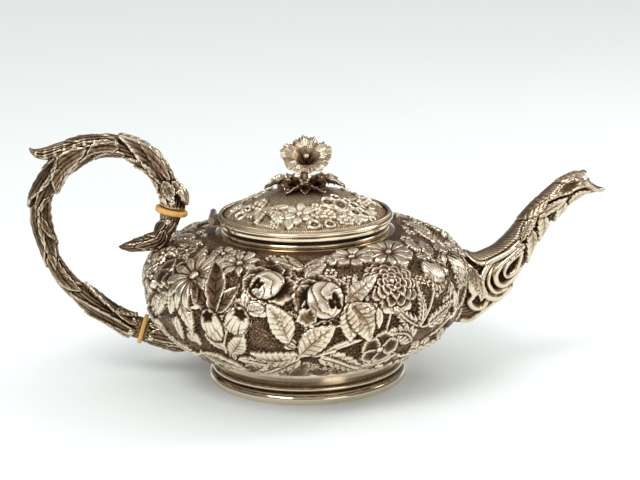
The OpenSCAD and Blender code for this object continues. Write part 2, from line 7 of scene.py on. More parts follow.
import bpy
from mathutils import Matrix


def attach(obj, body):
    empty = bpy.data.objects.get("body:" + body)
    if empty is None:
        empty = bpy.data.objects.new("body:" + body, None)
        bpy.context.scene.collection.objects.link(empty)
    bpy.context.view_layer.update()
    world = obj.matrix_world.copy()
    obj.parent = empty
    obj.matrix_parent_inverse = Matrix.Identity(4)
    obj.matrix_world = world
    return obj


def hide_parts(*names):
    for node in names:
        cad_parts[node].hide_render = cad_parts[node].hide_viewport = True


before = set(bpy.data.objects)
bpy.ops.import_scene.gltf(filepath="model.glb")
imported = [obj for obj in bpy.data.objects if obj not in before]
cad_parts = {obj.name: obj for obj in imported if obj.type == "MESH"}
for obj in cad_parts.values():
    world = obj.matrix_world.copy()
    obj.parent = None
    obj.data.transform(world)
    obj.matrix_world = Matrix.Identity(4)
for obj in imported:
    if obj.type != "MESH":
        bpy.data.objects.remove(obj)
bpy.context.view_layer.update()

import logging
from dataclasses import dataclass, field
from enum import Enum
from typing import Iterable, Sequence

import bmesh
import bpy
import numpy as np
from mathutils import Vector

log = logging.getLogger("teapot")

MM = 0.001
WELD = 2e-6             # metres between points that are merged
FULL_TURN = 2 * np.pi
Array = np.ndarray
Pair = tuple[float, float]
Point = Pair
Row = Sequence[float]
Triple = tuple[float, float, float]
Colour = Triple
Piece = bpy.types.Object


# ---------------- small curves and fields

def ease(x: Array) -> Array:
    """Smooth step: 3x^2 - 2x^3 of x held between 0 and 1."""
    x = np.clip(x, 0, 1)
    return x * x * (3 - 2 * x)


def bell(x: Array, width: float) -> Array:
    """Bell curve exp(-(x / width)^2)."""
    return np.exp(-(x / width) ** 2)


def vault(x: Array) -> Array:
    """Half circle sqrt(1 - x^2), and 0 outside it."""
    return np.sqrt(np.maximum(1 - x**2, 0))


def ripple(x: Array, y: Array, seed: int, size: float) -> Array:
    """Uneven waves: the mean of six sines that run in seeded directions, with wavelengths near size."""
    rng = np.random.default_rng(seed)
    total = np.zeros(np.broadcast(x, y).shape)
    waves = rng.uniform(0, np.pi, 6), rng.uniform(0.7, 1.6, 6) * size, rng.uniform(0, 6.28, 6)
    for angle, length, phase in zip(*waves):
        total += np.sin(FULL_TURN * (x * np.cos(angle) + y * np.sin(angle)) / length + phase)
    return total / 6


def heading(degrees: float) -> Point:
    """Cosine and sine of a direction."""
    return float(np.cos(np.radians(degrees))), float(np.sin(np.radians(degrees)))


def all_round(count: int) -> Array:
    """A row of angles, evenly spread round the circle."""
    return np.linspace(0, FULL_TURN, count, endpoint=False)[None, :]


def spun(r: Array, z: Array, angle: Array) -> Array:
    """Grid of points at radius r and height z, turned about Z to each angle."""
    return np.stack(np.broadcast_arrays(r * np.cos(angle), r * np.sin(angle), z), axis=-1)


def lifted(line: Array, normal: Array, lift: Array, angle: Array) -> Array:
    """Grid of points on a turned outline (radius, z), moved off it by lift along its normals."""
    r, z = (line[:, k:k + 1] + normal[:, k:k + 1] * lift for k in (0, 1))
    return spun(r, z, angle)


def flow(stations: Sequence[Row], steps: int) -> Array:
    """Catmull-Rom curve through stations.

    Args:
        stations: rows of numbers, one row for each station.
        steps: points between one station and the next.

    Returns:
        Array of (len(stations) - 1) * steps + 1 rows.
    """
    s = np.asarray(stations, float)
    p = np.vstack([s[:1], s, s[-1:]])
    t = np.arange(steps)[None, :, None] / steps
    a, b, c, d = (p[i:len(s) - 1 + i, None, :] for i in range(4))
    curve = 0.5 * (2 * b + (c - a) * t + (2 * a - 5 * b + 4 * c - d) * t**2 + (3 * b - a - 3 * c + d) * t**3)
    return np.vstack([curve.reshape(-1, s.shape[1]), s[-1:]])


def arc_length(line: Array) -> Array:
    """Distance along a line of points, at each of them."""
    return np.concatenate([[0], np.cumsum(np.linalg.norm(np.diff(line, axis=0), axis=1))])


def respace(curve: Array, count: int) -> tuple[Array, Array]:
    """Spreads points evenly along a curve.

    Args:
        curve: rows of numbers, of which the first two are the place in the plane.
        count: how many points the result has.

    Returns:
        The evenly spaced rows, and the arc length at each of them.
    """
    length = arc_length(curve[:, :2])
    at = np.linspace(0, length[-1], count)
    return np.stack([np.interp(at, length, column) for column in curve.T], axis=1), at


def right_of(line: Array) -> Array:
    """Unit normals on the right of a line, from its direction (x, z) as (z, -x)."""
    along = np.gradient(line, axis=0)
    return np.stack([along[:, 1], -along[:, 0]], 1) / np.linalg.norm(along, axis=1)[:, None]


def soften(values: Array, sigma: float, axis: int, wrap: bool) -> Array:
    """Gaussian blur along one axis: the weighted mean of the values within three sigma cells of each."""
    reach = max(1, int(3 * sigma))
    weight = np.exp(-0.5 * (np.arange(-reach, reach + 1) / sigma) ** 2)
    pad = [(0, 0)] * values.ndim
    pad[axis] = (reach, reach)
    wide = np.pad(values, pad, mode="wrap" if wrap else "edge")
    n = values.shape[axis]
    total = np.zeros_like(values)
    for k, w in enumerate(weight / weight.sum()):
        total += w * np.take(wide, range(k, k + n), axis=axis)
    return total


def patina_and_shade_of(height: Array, ground: Array, tone: Array, cell: float, base: float, gain: float,
              floor: float) -> Array:
    """Darkness of chased metal, on a grid whose columns run round.

    It is base plus gain times how far a place lies below its blurred surroundings, at 0.45, 1.4 and 3.6 mm:
    tarnish together with painted shade in the hollows. Then come floor on bare ground and the motif's tone,
    which is painted shade in its mouths and hollows.

    Args:
        height: relief in mm.
        ground: 1 on bare ground and 0 on motifs.
        tone: extra darkness of the motifs, painted shade in their mouths and hollows.
        cell: grid spacing in mm.
        base: darkness of a flat raised place.
        gain: darkness for each mm of depth.
        floor: extra darkness of the ground.

    Returns:
        Grid of darkness from 0 to 1.
    """
    depth = np.zeros_like(height)
    for share, size in ((1.3, 0.45), (0.6, 1.4), (0.34, 3.6)):
        depth += share * (soften(soften(height, size / cell, 0, False), size / cell, 1, True) - height)
    return np.clip(base + gain * depth + floor * ground + tone, 0, 1)


# ---------------- meshes

def surface(name: str, points: Array, wrap: tuple[bool, bool] = (False, True), inside: Row | None = None,
            patina_and_shade: Array | float | None = None, matting: Array | float = 0.0) -> Piece:
    """Makes a mesh of a grid of points, with its faces turned outwards.

    Each square of four neighbouring points becomes one face. The faces are turned over where the volume that
    they enclose, seen from the point inside, comes out negative.

    Args:
        name: the piece's name.
        points: grid of shape (rows, columns, 3), in millimetres.
        wrap: whether the last row joins the first, and the last column the first.
        inside: a point behind the surface; the middle of the points where it isn't given.
        patina_and_shade: darkness of each point, for the finishes.
        matting: how much of the punched ground shows at each point.

    Returns:
        The new object, linked to the scene.
    """
    rows, cols = points.shape[:2]
    i = np.arange(rows if wrap[0] else rows - 1)[:, None]
    j = np.arange(cols if wrap[1] else cols - 1)[None, :]
    i1, j1 = (i + 1) % rows, (j + 1) % cols
    quads = np.stack([i * cols + j, i * cols + j1, i1 * cols + j1, i1 * cols + j], axis=-1).reshape(-1, 4)
    co = points.reshape(-1, 3)
    rel = co - (co.mean(axis=0) if inside is None else np.asarray(inside, float))
    a, b, c, d = (rel[quads[:, k]] for k in range(4))
    if np.sum(a * np.cross(b, c)) + np.sum(a * np.cross(c, d)) < 0:
        quads = quads[:, ::-1]
    mesh = bpy.data.meshes.new(name)
    mesh.vertices.add(len(co))
    mesh.vertices.foreach_set("co", np.ascontiguousarray(co * MM, np.float32).ravel())
    mesh.loops.add(quads.size)
    mesh.loops.foreach_set("vertex_index", np.ascontiguousarray(quads, np.int32).ravel())
    mesh.polygons.add(len(quads))
    mesh.polygons.foreach_set("loop_start", np.arange(0, quads.size, 4, dtype=np.int32))
    mesh.polygons.foreach_set("use_smooth", np.ones(len(quads), bool))
    mesh.update(calc_edges=True)
    if patina_and_shade is not None:
        for key, grid in (("patina_and_shade", patina_and_shade), ("matting", matting)):
            values = np.ascontiguousarray(np.broadcast_to(grid, (rows, cols)), np.float32)
            mesh.attributes.new(key, "FLOAT", "POINT").data.foreach_set("value", values.ravel())
    obj = bpy.data.objects.new(name, mesh)
    bpy.context.scene.collection.objects.link(obj)
    return obj


def welded(obj: Piece) -> Piece:
    """Merges points that share a place, so that poles and seams are closed."""
    work = bmesh.new()
    work.from_mesh(obj.data)
    bmesh.ops.remove_doubles(work, verts=work.verts, dist=WELD)
    work.to_mesh(obj.data)
    work.free()
    return obj


def joined(name: str, parts: Sequence[Piece]) -> Piece:
    """Joins several pieces into one with that name, and closes their seams."""
    with bpy.context.temp_override(active_object=parts[0], selected_editable_objects=list(parts)):
        bpy.ops.object.join()
    parts[0].name = parts[0].data.name = name
    return welded(parts[0])


def turned(name: str, profile: Sequence[Point], segments: int, fillet: float, cove_tarnish_and_shade: float) -> Piece:
    """Turns a closed profile round the Z axis.

    The outline is cut into even steps and its corners are rounded by a blur of fillet mm. A hollow in the
    outline is where the outline blurred by 1.3 mm lies further out than the outline itself; it is darkened
    with tarnish and painted shade.

    Args:
        name: the piece's name.
        profile: closed outline as (radius, z) points.
        segments: steps round the axis.
        fillet: size of the rounding at the corners.
        cove_tarnish_and_shade: how dark the hollows get.

    Returns:
        The new object.
    """
    step = 0.16
    loop = np.asarray([*profile, profile[0]], float)
    line = respace(loop, int(arc_length(loop)[-1] / step))[0][:-1]
    line = soften(line, fillet / step, 0, True)
    wide = soften(line, 1.3 / step, 0, True)
    ahead = np.roll(line, -1, 0)
    along = ahead - np.roll(line, 1, 0)
    normal = np.stack([along[:, 1], -along[:, 0]], axis=1) / np.linalg.norm(along, axis=1)[:, None]
    area = np.sum(line[:, 0] * ahead[:, 1] - ahead[:, 0] * line[:, 1])
    hollow = np.sum((wide - line) * normal, axis=1) * np.sign(area)
    # Tarnish and painted shade darken the hollows of the outline.
    dark = np.clip(0.14 + cove_tarnish_and_shade * 2.8 * hollow, 0, 1)[:, None]
    return surface(name, spun(line[:, :1], line[:, 1:], all_round(segments)), (True, True), patina_and_shade=dark)


# ---------------- the chaser's field

@dataclass
class Relief:
    """Height of chased work over a sheet, on a grid of places.

    Args:
        u: place of each grid point across, in degrees round a turned sheet or in mm.
        v: place of each grid point upwards, in mm.
        u_mm: millimetres for each unit of u.
        period: span of u after which the pattern repeats, or None.
    """

    u: Array
    v: Array
    u_mm: Array
    period: float | None = None
    height: Array = field(init=False)
    ground: Array = field(init=False)
    tone: Array = field(init=False)

    def __post_init__(self) -> None:
        """Starts from bare sheet."""
        self.height, self.tone = np.zeros_like(self.u), np.zeros_like(self.u)
        self.ground = np.ones_like(self.u)

    def offset(self, at: Point) -> tuple[Array, Array]:
        """Millimetres from a place to every grid point, across and upwards."""
        du = self.u - at[0]
        if self.period:
            du = (du + self.period / 2) % self.period - self.period / 2
        return du * self.u_mm, self.v - at[1]

    def near(self, at: Point, reach: float) -> tuple[tuple[Array, ...], Array, Array]:
        """Index of the grid points within a square round a place, and their distances across and upwards."""
        x, y = self.offset(at)
        index = np.nonzero((np.abs(x) < reach) & (np.abs(y) < reach))
        return index, x[index], y[index]

    def local(self, at: Point, angle: float, reach: float) -> tuple[tuple[Array, ...], Array, Array]:
        """Grid points near a place, in the motif's own axes.

        Args:
            at: the motif's place.
            angle: direction of its long axis, in degrees from +u towards +v.
            reach: half side of the square that is looked at, in mm.

        Returns:
            Index of the points, and their places along and across the axis.
        """
        index, x, y = self.near(at, reach)
        c, s = heading(angle)
        return index, c * x + s * y, c * y - s * x

    def lay(self, index: tuple[Array, ...], inside: Array, height: Array, keep: float = 0.0,
            groove: float = 0.5, tone: Array | float = 0.0) -> None:
        """Lays a motif over what is there, with a chased line round it.

        Inside, the height becomes the motif's plus a share of the old one. Just outside, a bell of 0.36 mm
        half width is cut as the chased outline.

        Args:
            index: grid points from local().
            inside: distance inside the motif's edge, negative outside.
            height: the motif's height in mm.
            keep: share of the old height that still shows.
            groove: depth of the outline.
            tone: extra darkness of the motif, from 0 to 1, painted shade in its hollows and mouths.
        """
        cover = ease(inside / 0.45 + 0.5)
        old = self.height[index]
        outline = groove * bell(inside + 0.42, 0.36) * (1 - cover)
        motif = np.maximum(height, 0.1) + keep * np.maximum(old, 0)
        self.height[index] = (old - outline) * (1 - cover) + cover * motif
        self.ground[index] *= 1 - cover
        self.tone[index] = self.tone[index] * (1 - cover) + cover * tone

    def scale(self, v: float) -> float:
        """Millimetres for one unit of u at a height."""
        return float(self.u_mm.flat[np.argmin(np.abs(self.v - v))])

    def span(self, start: Point, end: Point) -> Point:
        """Length in mm and direction in degrees from one place to another."""
        dx, dy = (end[0] - start[0]) * self.scale((start[1] + end[1]) / 2), end[1] - start[1]
        return float(np.hypot(dx, dy)), float(np.degrees(np.arctan2(dy, dx)))

    def away(self, at: Point, angle: float, distance: float) -> Point:
        """The place at a distance in mm and a direction in degrees from another."""
        c, s = heading(angle)
        v = at[1] + s * distance
        return at[0] + c * distance / self.scale(v), v

    def disc(self, at: Point, radius: float) -> Array:
        """Distance inside a round blank."""
        return radius - np.hypot(*self.offset(at))

    def blade(self, base: Point, tip: Point, width: float) -> Array:
        """Distance inside a leaf blank: a hexagon that is widest a quarter of the way up."""
        reach, angle = self.span(base, tip)
        x, y = self.offset(base)
        c, s = heading(angle)
        along, across = c * x + s * y, np.abs(c * y - s * x)
        half = np.interp(along / reach, (0, 0.25, 0.65, 1), (0, width / 2, width * 0.42, 0))
        return half - across - np.maximum(-along, 0) - np.maximum(along - reach, 0)

    def swollen(self, blanks: Iterable[Array], lift: float, over: float, soft: float) -> Array:
        """Height of raised blanks.

        Args:
            blanks: distance inside each blank.
            lift: their height in mm.
            over: how far outside the blank its slope starts.
            soft: width of the slope.

        Returns:
            Grid of the greatest height, lift times a smooth step of (inside + over) / soft.
        """
        rise = np.zeros_like(self.u)
        for inside in blanks:
            rise = np.maximum(rise, lift * ease((inside + over) / soft))
        return rise


# ---------------- the chaser


@dataclass(frozen=True)
class Blade:
    """Form of a leaf's blade.

    Args:
        lift: extra height at the tip, as a share.
        dished: how hollow it is, from 0 to 1.
        ribs: height of the side veins in mm.
        keep: share of the height below that shows through.
    """

    lift: float = 0.3
    dished: float = 0.0
    ribs: float = 0.16
    keep: float = 0.2


@dataclass
class Chaser:
    """Strikes leaves, flowers and stems into a relief."""

    relief: Relief

    def leaf(self, base: Point, tip: Point, width: float, bend: float = 0.0, teeth: int = 7,
             bite: float = 0.14, high: float = 1.3, blade: Blade = Blade()) -> None:
        """A leaf from base to tip.

        Its half width follows sin(pi t^0.8)^0.75 with saw teeth cut in; its height is a low dome, lifted
        towards the tip, with a groove for the midrib and slanting side veins. A dished leaf is hollow with a
        raised rim instead.

        Args:
            base: where it starts.
            tip: where it ends.
            width: greatest width in mm.
            bend: sideways bow as a share of its length.
            teeth: saw teeth on each side.
            bite: depth of the teeth as a share of the width.
            high: height in mm.
            blade: form of the blade.
        """
        length, angle = self.relief.span(base, tip)
        index, p, q = self.relief.local(base, angle, length + 2)
        t = p / length
        tt = np.clip(t, 0, 1)
        q = q - bend * length * 2 * tt * (1 - tt)
        half = width / 2 * np.sin(np.pi * tt**0.8) ** 0.75
        x = np.minimum(np.abs(q) / np.maximum(half, 0.15), 1)
        half = half * (1 - bite * ((teeth * tt - 0.35 * x) % 1) ** 1.6)
        out = np.maximum(np.abs(t - 0.5) - 0.5, 0) * length
        inside = np.where(out > 0, -np.hypot(out, np.abs(q)), (half - np.abs(q)) * 0.85)
        x = np.minimum(np.abs(q) / np.maximum(half, 0.15), 1)
        slant = np.pi * (teeth * tt - 0.9 * x)
        cushion = 0.45 + 0.62 * vault(x) * (1 - 0.3 * bell(x, 0.3))
        dome = cushion * (1 - blade.dished) + blade.dished * (0.35 + 0.65 * x**3)
        vein = np.sin(slant) ** 12 * ease(x * 4) * (1 - x**3)
        curl = 0.3 * ease((x - 0.72) / 0.2) * np.cos(slant) ** 2
        midrib = 0.26 * bell(q, 0.2) * (1 - 0.6 * tt)
        shape = high * dome * (0.75 + blade.lift * tt) + curl - 1.3 * blade.ribs * vein - midrib
        # A dished leaf is darker in its hollow middle: painted shade.
        self.relief.lay(index, inside, shape, blade.keep, 0.34, 0.45 * blade.dished * (1 - x**3))

    def leaves(self, rows: Sequence[Row], teeth: int = 7, bite: float = 0.14, high: float = 1.3,
               blade: Blade = Blade()) -> None:
        """Strikes a leaf for each row.

        Args:
            rows: place of the base, place of the tip, width and bend, which a row may follow with its own
                teeth, bite and height.
            teeth: saw teeth of the other leaves.
            bite: their depth.
            high: their height.
            blade: form of all the blades.
        """
        for u, v, tip_u, tip_v, width, bend, *own in rows:
            self.leaf((u, v), (tip_u, tip_v), width, bend, *(own or (teeth, bite, high)), blade)

    def petal(self, at: Point, angle: float, near: float, far: float, width: float, high: float = 1.2,
              wave: float = 0.05, dished: float = 0.6, lobes: int = 7, keep: float = 0.0, groove: float = 0.3,
              phase: float = 0.0) -> None:
        """A rounded petal: an ellipse with a waved edge, hollow in the middle and rolled up at its rim.

        Args:
            at: the flower's centre.
            angle: direction of the petal.
            near: distance of its inner end from the centre.
            far: distance of its outer end.
            width: its width.
            high: height of the rim.
            wave: depth of the waves along the edge, as a share.
            dished: how hollow it is.
            lobes: waves round the edge.
            keep: share of the height below that shows through.
            groove: depth of the outline.
            phase: turn of the waves.
        """
        index, p, q = self.relief.local(at, angle, abs(far) + width)
        mid, a, b = (near + far) / 2, (far - near) / 2, width / 2
        x, y = (p - mid) / a, q / b
        phi = np.arctan2(y, x)
        edge = 1 + wave * np.cos(lobes * phi + phase) + 0.5 * wave * np.cos((2 * lobes + 1) * phi + 2 * phase)
        rel = np.hypot(x, y) / edge
        rim = np.minimum(rel, 1) ** 3
        shape = high * ((1 - dished) + dished * rim) + 0.07 * np.cos(14 * phi) * ease(rel)
        # The hollow middle is darker: painted shade.
        self.relief.lay(index, (1 - rel) * min(a, b), shape, keep, groove, 0.42 * dished * (1 - rim))

    def daisy(self, at: Point, radius: float, petals: int, turn: float = 0.0, point: float = 1.6,
              notch: float = 0.34, button: float = 0.2, high: float = 1.5, squash: float = 1.0,
              tilt: float = 0.0, crease: float = 0.2) -> None:
        """An open flower with petals side by side round a button.

        The edge lies at radius (1 - notch a^point), where a runs from 0 on a petal's middle to 1 between two
        petals. The petals rise from the button, are domed across and creased, and a bell groove parts them.

        Args:
            at: the flower's centre.
            radius: reach of the petals.
            petals: how many.
            turn: direction of the first petal.
            point: lower makes more pointed petals.
            notch: depth between petals as a share of the radius.
            button: radius of the middle as a share.
            high: height of the petals.
            squash: width of the flower across its tilt axis, for one seen aslant.
            tilt: direction of the flower's long axis.
            crease: depth of the crease along each petal.
        """
        low = 0.3
        index, p, q = self.relief.local(at, tilt, radius * 1.15)
        q = q / squash
        rho, phi = np.hypot(p, q), np.arctan2(q, p) - np.radians(turn - tilt)
        turnwise = petals * phi / FULL_TURN
        a = np.abs((turnwise + 0.5) % 1 - 0.5) * 2
        vary = 1 + 0.07 * np.sin(np.floor(turnwise + 0.5) * 2.4 + radius)
        inside = (radius * vary * (1 - notch * a**point) - rho) * 0.85
        across = np.pi * rho / petals
        climb = low + (1 - low) * ease((rho / radius - button) / 0.45)
        parting = 0.6 * bell((1 - a) * across, 0.36) * ease(rho / radius * 2.2)
        shape = high * climb * (0.62 + 0.38 * vault(a)) - parting - crease * bell(a * across, 0.3)
        core = button * radius
        knob = high * 0.75 + 0.45 * vault(rho / core) + 0.16 * np.cos(4.4 * p) * np.cos(4.4 * q)
        shape = np.where(rho < core, knob, shape) - 0.5 * bell(rho - core, 0.34)
        self.relief.lay(index, inside, shape, 0.1, 0.36)

    def daisies(self, rows: Sequence[Row], *shared: float) -> None:
        """Strikes a daisy for each row of its place and first sizes; the shared sizes follow them."""
        for u, v, *sizes in rows:
            self.daisy((u, v), *sizes, *shared)

    def rose(self, at: Point, radius: float, petals: Sequence[Row], hole: Point, seed: int) -> None:
        """A rose: wide hollow petals with waved rims behind a bud.

        On the bud five petals lie spirally round the ragged mouth: each climbs as a sawtooth in the angle
        about the mouth, which turns further with the distance from it.

        Args:
            at: centre of the bud.
            radius: its radius.
            petals: direction and reach of each outer petal.
            hole: place of the mouth from the centre; the mouth is darkened with painted shade.
            seed: shifts the waves of the petals.
        """
        for k, (angle, reach) in enumerate(petals):
            self.petal(at, angle, 0.0, reach, reach * 0.98, 1.15, dished=0.8, phase=seed + 1.7 * k)
        r = radius
        index, p, q = self.relief.local(at, 0, r * 1.2)
        rho = np.hypot(p, q)
        out, turn = np.hypot(p - hole[0], q - hole[1]), np.arctan2(q - hole[1], p - hole[0])
        ragged = 0.12 * np.cos(3 * turn + seed) + 0.1 * np.cos(7 * turn + 2 * seed)
        lap = (5 * turn / FULL_TURN + 1.86 * out / r + ragged + 0.3 * seed) % 1
        fold = 0.78 * lap**1.5 - 0.5 * bell(np.minimum(lap, 1 - lap) * 1.3 * out, 0.26)
        lip = out - 0.34 * r * (1 + 0.22 * np.cos(3 * turn + seed) + 0.14 * np.cos(5 * turn - seed))
        mouth = 1.7 * (1 - ease((lip + 0.9) / 1.3)) - 0.35 * bell(lip - 0.6, 0.4) - 0.7 * bell(out, 0.16 * r)
        shape = 0.5 + 2.1 * vault(rho / r) + fold * ease(out / (0.5 * r)) - mouth
        # Painted shade inside the mouth.
        shade = 0.75 * (1 - ease((lip + 0.7) / 0.9)) * ease(out / (0.14 * r))
        self.relief.lay(index, r - rho, shape, tone=shade)

    def blossom(self, at: Point, radius: float, turn: float = 90.0, high: float = 1.4) -> None:
        """A flower of five separate round hollow petals with a pip in the middle."""
        for k in range(5):
            width = 1.68 * radius * np.sin(np.pi / 5)
            self.petal(at, turn + 72 * k, 0.12 * radius, radius, width, high, dished=0.62, lobes=5, phase=k)
        self.knob(at, 0.16 * radius, high * 1.15)

    def knob(self, at: Point, radius: float, high: float, foot: float = 0.5, groove: float = 0.45) -> None:
        """A small round boss: half a flattened ball on a foot that is a share of its height."""
        index, p, q = self.relief.local(at, 0, radius + 1)
        rho = np.hypot(p, q)
        self.relief.lay(index, radius - rho, high * (foot + (1 - foot) * vault(rho / radius)), groove=groove)

    def ring(self, at: Point, radius: float, squash: float = 1.0) -> None:
        """A ring blossom: a rim of bell section round a hollow with a pip, the hollow in painted shade."""
        index, p, q = self.relief.local(at, 0, radius + 2)
        rho = np.hypot(p, q / squash)
        shape = 1.2 * bell(rho - radius * 0.86, 0.5) + 0.12 + 0.5 * bell(rho, 0.5)
        shade = 0.6 * (1 - ease((rho - 0.45 * radius) / 0.5))
        self.relief.lay(index, radius * 1.08 - rho, shape, groove=0.3, tone=shade)

    def dahlia(self, at: Point, radius: float, squash: float, tilt: float) -> None:
        """A dahlia: four rings of round hollow petals, each laid over the ring outside it."""
        for share, count, high in ((1.0, 13, 0.9), (0.8, 11, 1.25), (0.58, 9, 1.6), (0.36, 6, 1.9)):
            for k in range(count):
                angle = 360 * (k + 0.5 * (count % 2)) / count
                c, s = heading(angle - tilt)
                reach = radius * share * np.hypot(c, squash * s)
                width = reach * 6.48 / (count + 2)
                self.petal(at, angle, reach * 0.42, reach, width, high, 0.06, 0.55, 3, 0.0, 0.34, k)
        self.knob(at, 0.09 * radius, 1.9)

    def cup(self, at: Point, angle: float, length: float, width: float) -> None:
        """A cup-shaped bud, open at its top: an egg with grooves between its petals and a mouth in painted
        shade.

        Args:
            at: centre of the egg.
            angle: direction of the open end.
            length: length of the egg.
            width: its width.
        """
        high = 2.1
        index, p, q = self.relief.local(at, angle, length)
        x, y = p / (length / 2), q / (width / 2)
        y = y / (1 - 0.22 * x * np.abs(x) * (x < 0))
        rho = np.hypot(x, y)
        shape = 0.5 + (high - 0.5) * vault(rho)
        for side, deep in ((-1, 0.5), (0, 0.25), (1, 0.5)):
            shape -= deep * bell(q - side * width * 0.2 * (1 - 0.5 * x), 0.3) * ease(0.5 - x)
        px, py = (x - 0.62) / 0.36, y / 0.68
        mouth = np.hypot(px, py) / (1 + 0.12 * np.cos(5 * np.arctan2(py, px)))
        shape += 0.4 * bell((mouth - 1.12) * width / 3, 0.4) - high * 0.45 * (1 - ease((mouth - 0.45) / 0.6))
        self.relief.lay(index, (1 - rho) * width / 2, shape, tone=0.5 * (1 - ease((mouth - 0.6) / 0.45)))

    def fluted(self, at: Point, angle: float, length: float, width: float) -> None:
        """A fluted seed head: a dome with grooves fanned from its foot, over a fringe of short leaves."""
        foot = self.relief.away(at, angle + 180, length * 0.2)
        for side in range(-3, 4):
            reach = 1.25 * length * (0.62 - 0.03 * abs(side))
            self.leaf(foot, self.relief.away(at, angle + 180 + 17 * side, reach), 2.6, 0, 3, 0.1, 1.2)
        index, p, q = self.relief.local(at, angle, length)
        x, y = p / (length / 2), q / (width / 2)
        rho = np.hypot(x, y)
        flutes = np.sin(18.9 * np.arctan2(q, p + length * 0.62)) ** 4
        mouth = 1 - ease((np.hypot((x - 0.72) / 0.3, y / 0.5) - 0.6) / 0.4)
        shape = 0.5 + 1.7 * vault(rho) - 0.32 * flutes - mouth
        # The open mouth is darker: painted shade.
        self.relief.lay(index, (1 - rho) * width / 2, shape, tone=0.5 * mouth)

    def stem(self, points: Sequence[Point], width: float = 1.1, high: float = 0.9) -> None:
        """A round ridge along a curve, where the distance is to the nearest of its short straight pieces."""
        line = flow(points, 4)
        middle = line.mean(axis=0)
        flat = (line - middle) * [self.relief.scale(middle[1]), 1]
        index, x, y = self.relief.near(tuple(middle), np.abs(flat).max() + 3)
        place = np.stack([x, y], axis=1)
        best = np.full(len(place), np.inf)
        for a, b in zip(flat[:-1], flat[1:]):
            d = b - a
            t = np.clip(((place - a) @ d) / max(float(d @ d), 1e-9), 0, 1)
            best = np.minimum(best, np.linalg.norm(place - a - t[:, None] * d, axis=1))
        round_top = 0.4 + 0.6 * vault(np.minimum(best / (width / 2), 1))
        self.relief.lay(index, width / 2 - best, high * round_top, 0.3, 0.28)

    def frond(self, points: Sequence[Point], count: int, length: float, width: float, spread: float = 55.0,
              high: float = 1.0, taper: float = 0.45, rib: float = 1.2) -> None:
        """A divided leaf: pairs of lobes along a curved rib, smaller towards the tip, and one at the end.

        Args:
            points: the rib, from its base to its tip.
            count: pairs of lobes.
            length: length of the longest lobe.
            width: its width.
            spread: angle between rib and lobe in degrees.
            high: height of the lobes.
            taper: length of the last lobe as a share of the first.
            rib: width of the rib.
        """
        lobe = Blade(lift=0.4, ribs=0.08)
        line = [tuple(place) for place in respace(flow(points, 8), count + 2)[0]]
        for k, (base, ahead) in enumerate(zip(line[1:-1], line[2:])):
            angle = self.relief.span(base, ahead)[1]
            size = length * (1 - (1 - taper) * k / count) * (0.75 + 0.25 * np.sin(np.pi * (k + 1) / count))
            for side in (-1, 1):
                tip = self.relief.away(base, angle + side * spread, size)
                self.leaf(base, tip, width * (1 - 0.35 * k / count), -0.18 * side, 3, 0.1, high, lobe)
        end = self.relief.away(line[-1], self.relief.span(*line[-2:])[1], length * 0.4)
        self.leaf(line[-2], end, width, 0, 3, 0.1, high, lobe)
        self.stem(points, rib, high * 0.95)

    def fronds(self, rows: Sequence[Row]) -> None:
        """Strikes a frond for each row: three places along its rib, then its sizes."""
        for *rib, count, length, width, spread, high, taper, thick in rows:
            self.frond((rib[:2], rib[2:4], rib[4:]), count, length, width, spread, high, taper, thick)


# ---------------- finishes

class Slot(Enum):
    """The record's material slots."""

    CHASED = "silver_chased"
    POLISHED = "silver_polished"
    IVORY = "ivory_insulator"


@dataclass
class Wiring:
    """Adds nodes to a shader tree; wherever a value is asked for, it may be a socket or a constant."""

    tree: bpy.types.NodeTree

    def fill(self, socket: bpy.types.NodeSocket, value: object) -> None:
        """Links a socket, or sets its constant; a colour of three numbers gets an alpha of 1."""
        if isinstance(value, bpy.types.NodeSocket):
            self.tree.links.new(value, socket)
        else:
            socket.default_value = (*value, 1.0) if socket.type == "RGBA" else value

    def feed(self, node: bpy.types.Node, inputs: dict[str | int, object]) -> bpy.types.Node:
        """Fills a node's inputs by name or number."""
        for key, value in inputs.items():
            self.fill(node.inputs[key], value)
        return node

    def node(self, kind: str, **inputs: object) -> bpy.types.Node:
        """Adds a node and fills its inputs."""
        return self.feed(self.tree.nodes.new("ShaderNode" + kind), inputs)

    def math(self, operation: str, a: object, b: object, clamp: bool = False) -> bpy.types.NodeSocket:
        """Adds a Math node and returns its output."""
        n = self.node("Math")
        n.operation, n.use_clamp = operation, clamp
        return self.feed(n, {0: a, 1: b}).outputs[0]

    def add(self, a: object, b: object, clamp: bool = False) -> bpy.types.NodeSocket:
        """Sum of two values."""
        return self.math("ADD", a, b, clamp)

    def less(self, a: object, b: object, clamp: bool = False) -> bpy.types.NodeSocket:
        """The first value less the second."""
        return self.math("SUBTRACT", a, b, clamp)

    def times(self, a: object, b: object, clamp: bool = False) -> bpy.types.NodeSocket:
        """Product of two values."""
        return self.math("MULTIPLY", a, b, clamp)

    def mix(self, share: object, a: object, b: object) -> bpy.types.NodeSocket:
        """Colour between a and b."""
        n = self.node("Mix")
        n.data_type = "RGBA"
        return self.feed(n, {0: share, 6: a, 7: b}).outputs[2]

    def noise(self, place: object, scale: float, detail: float = 3.0,
              rough: float = 0.55) -> bpy.types.NodeSocket:
        """Noise read at a place."""
        return self.node("TexNoise", Vector=place, Scale=scale, Detail=detail, Roughness=rough).outputs[0]

    def mark(self, name: str) -> bpy.types.NodeSocket:
        """A mark that the mesh holds for each point."""
        n = self.node("Attribute")
        n.attribute_name = name
        return n.outputs["Fac"]


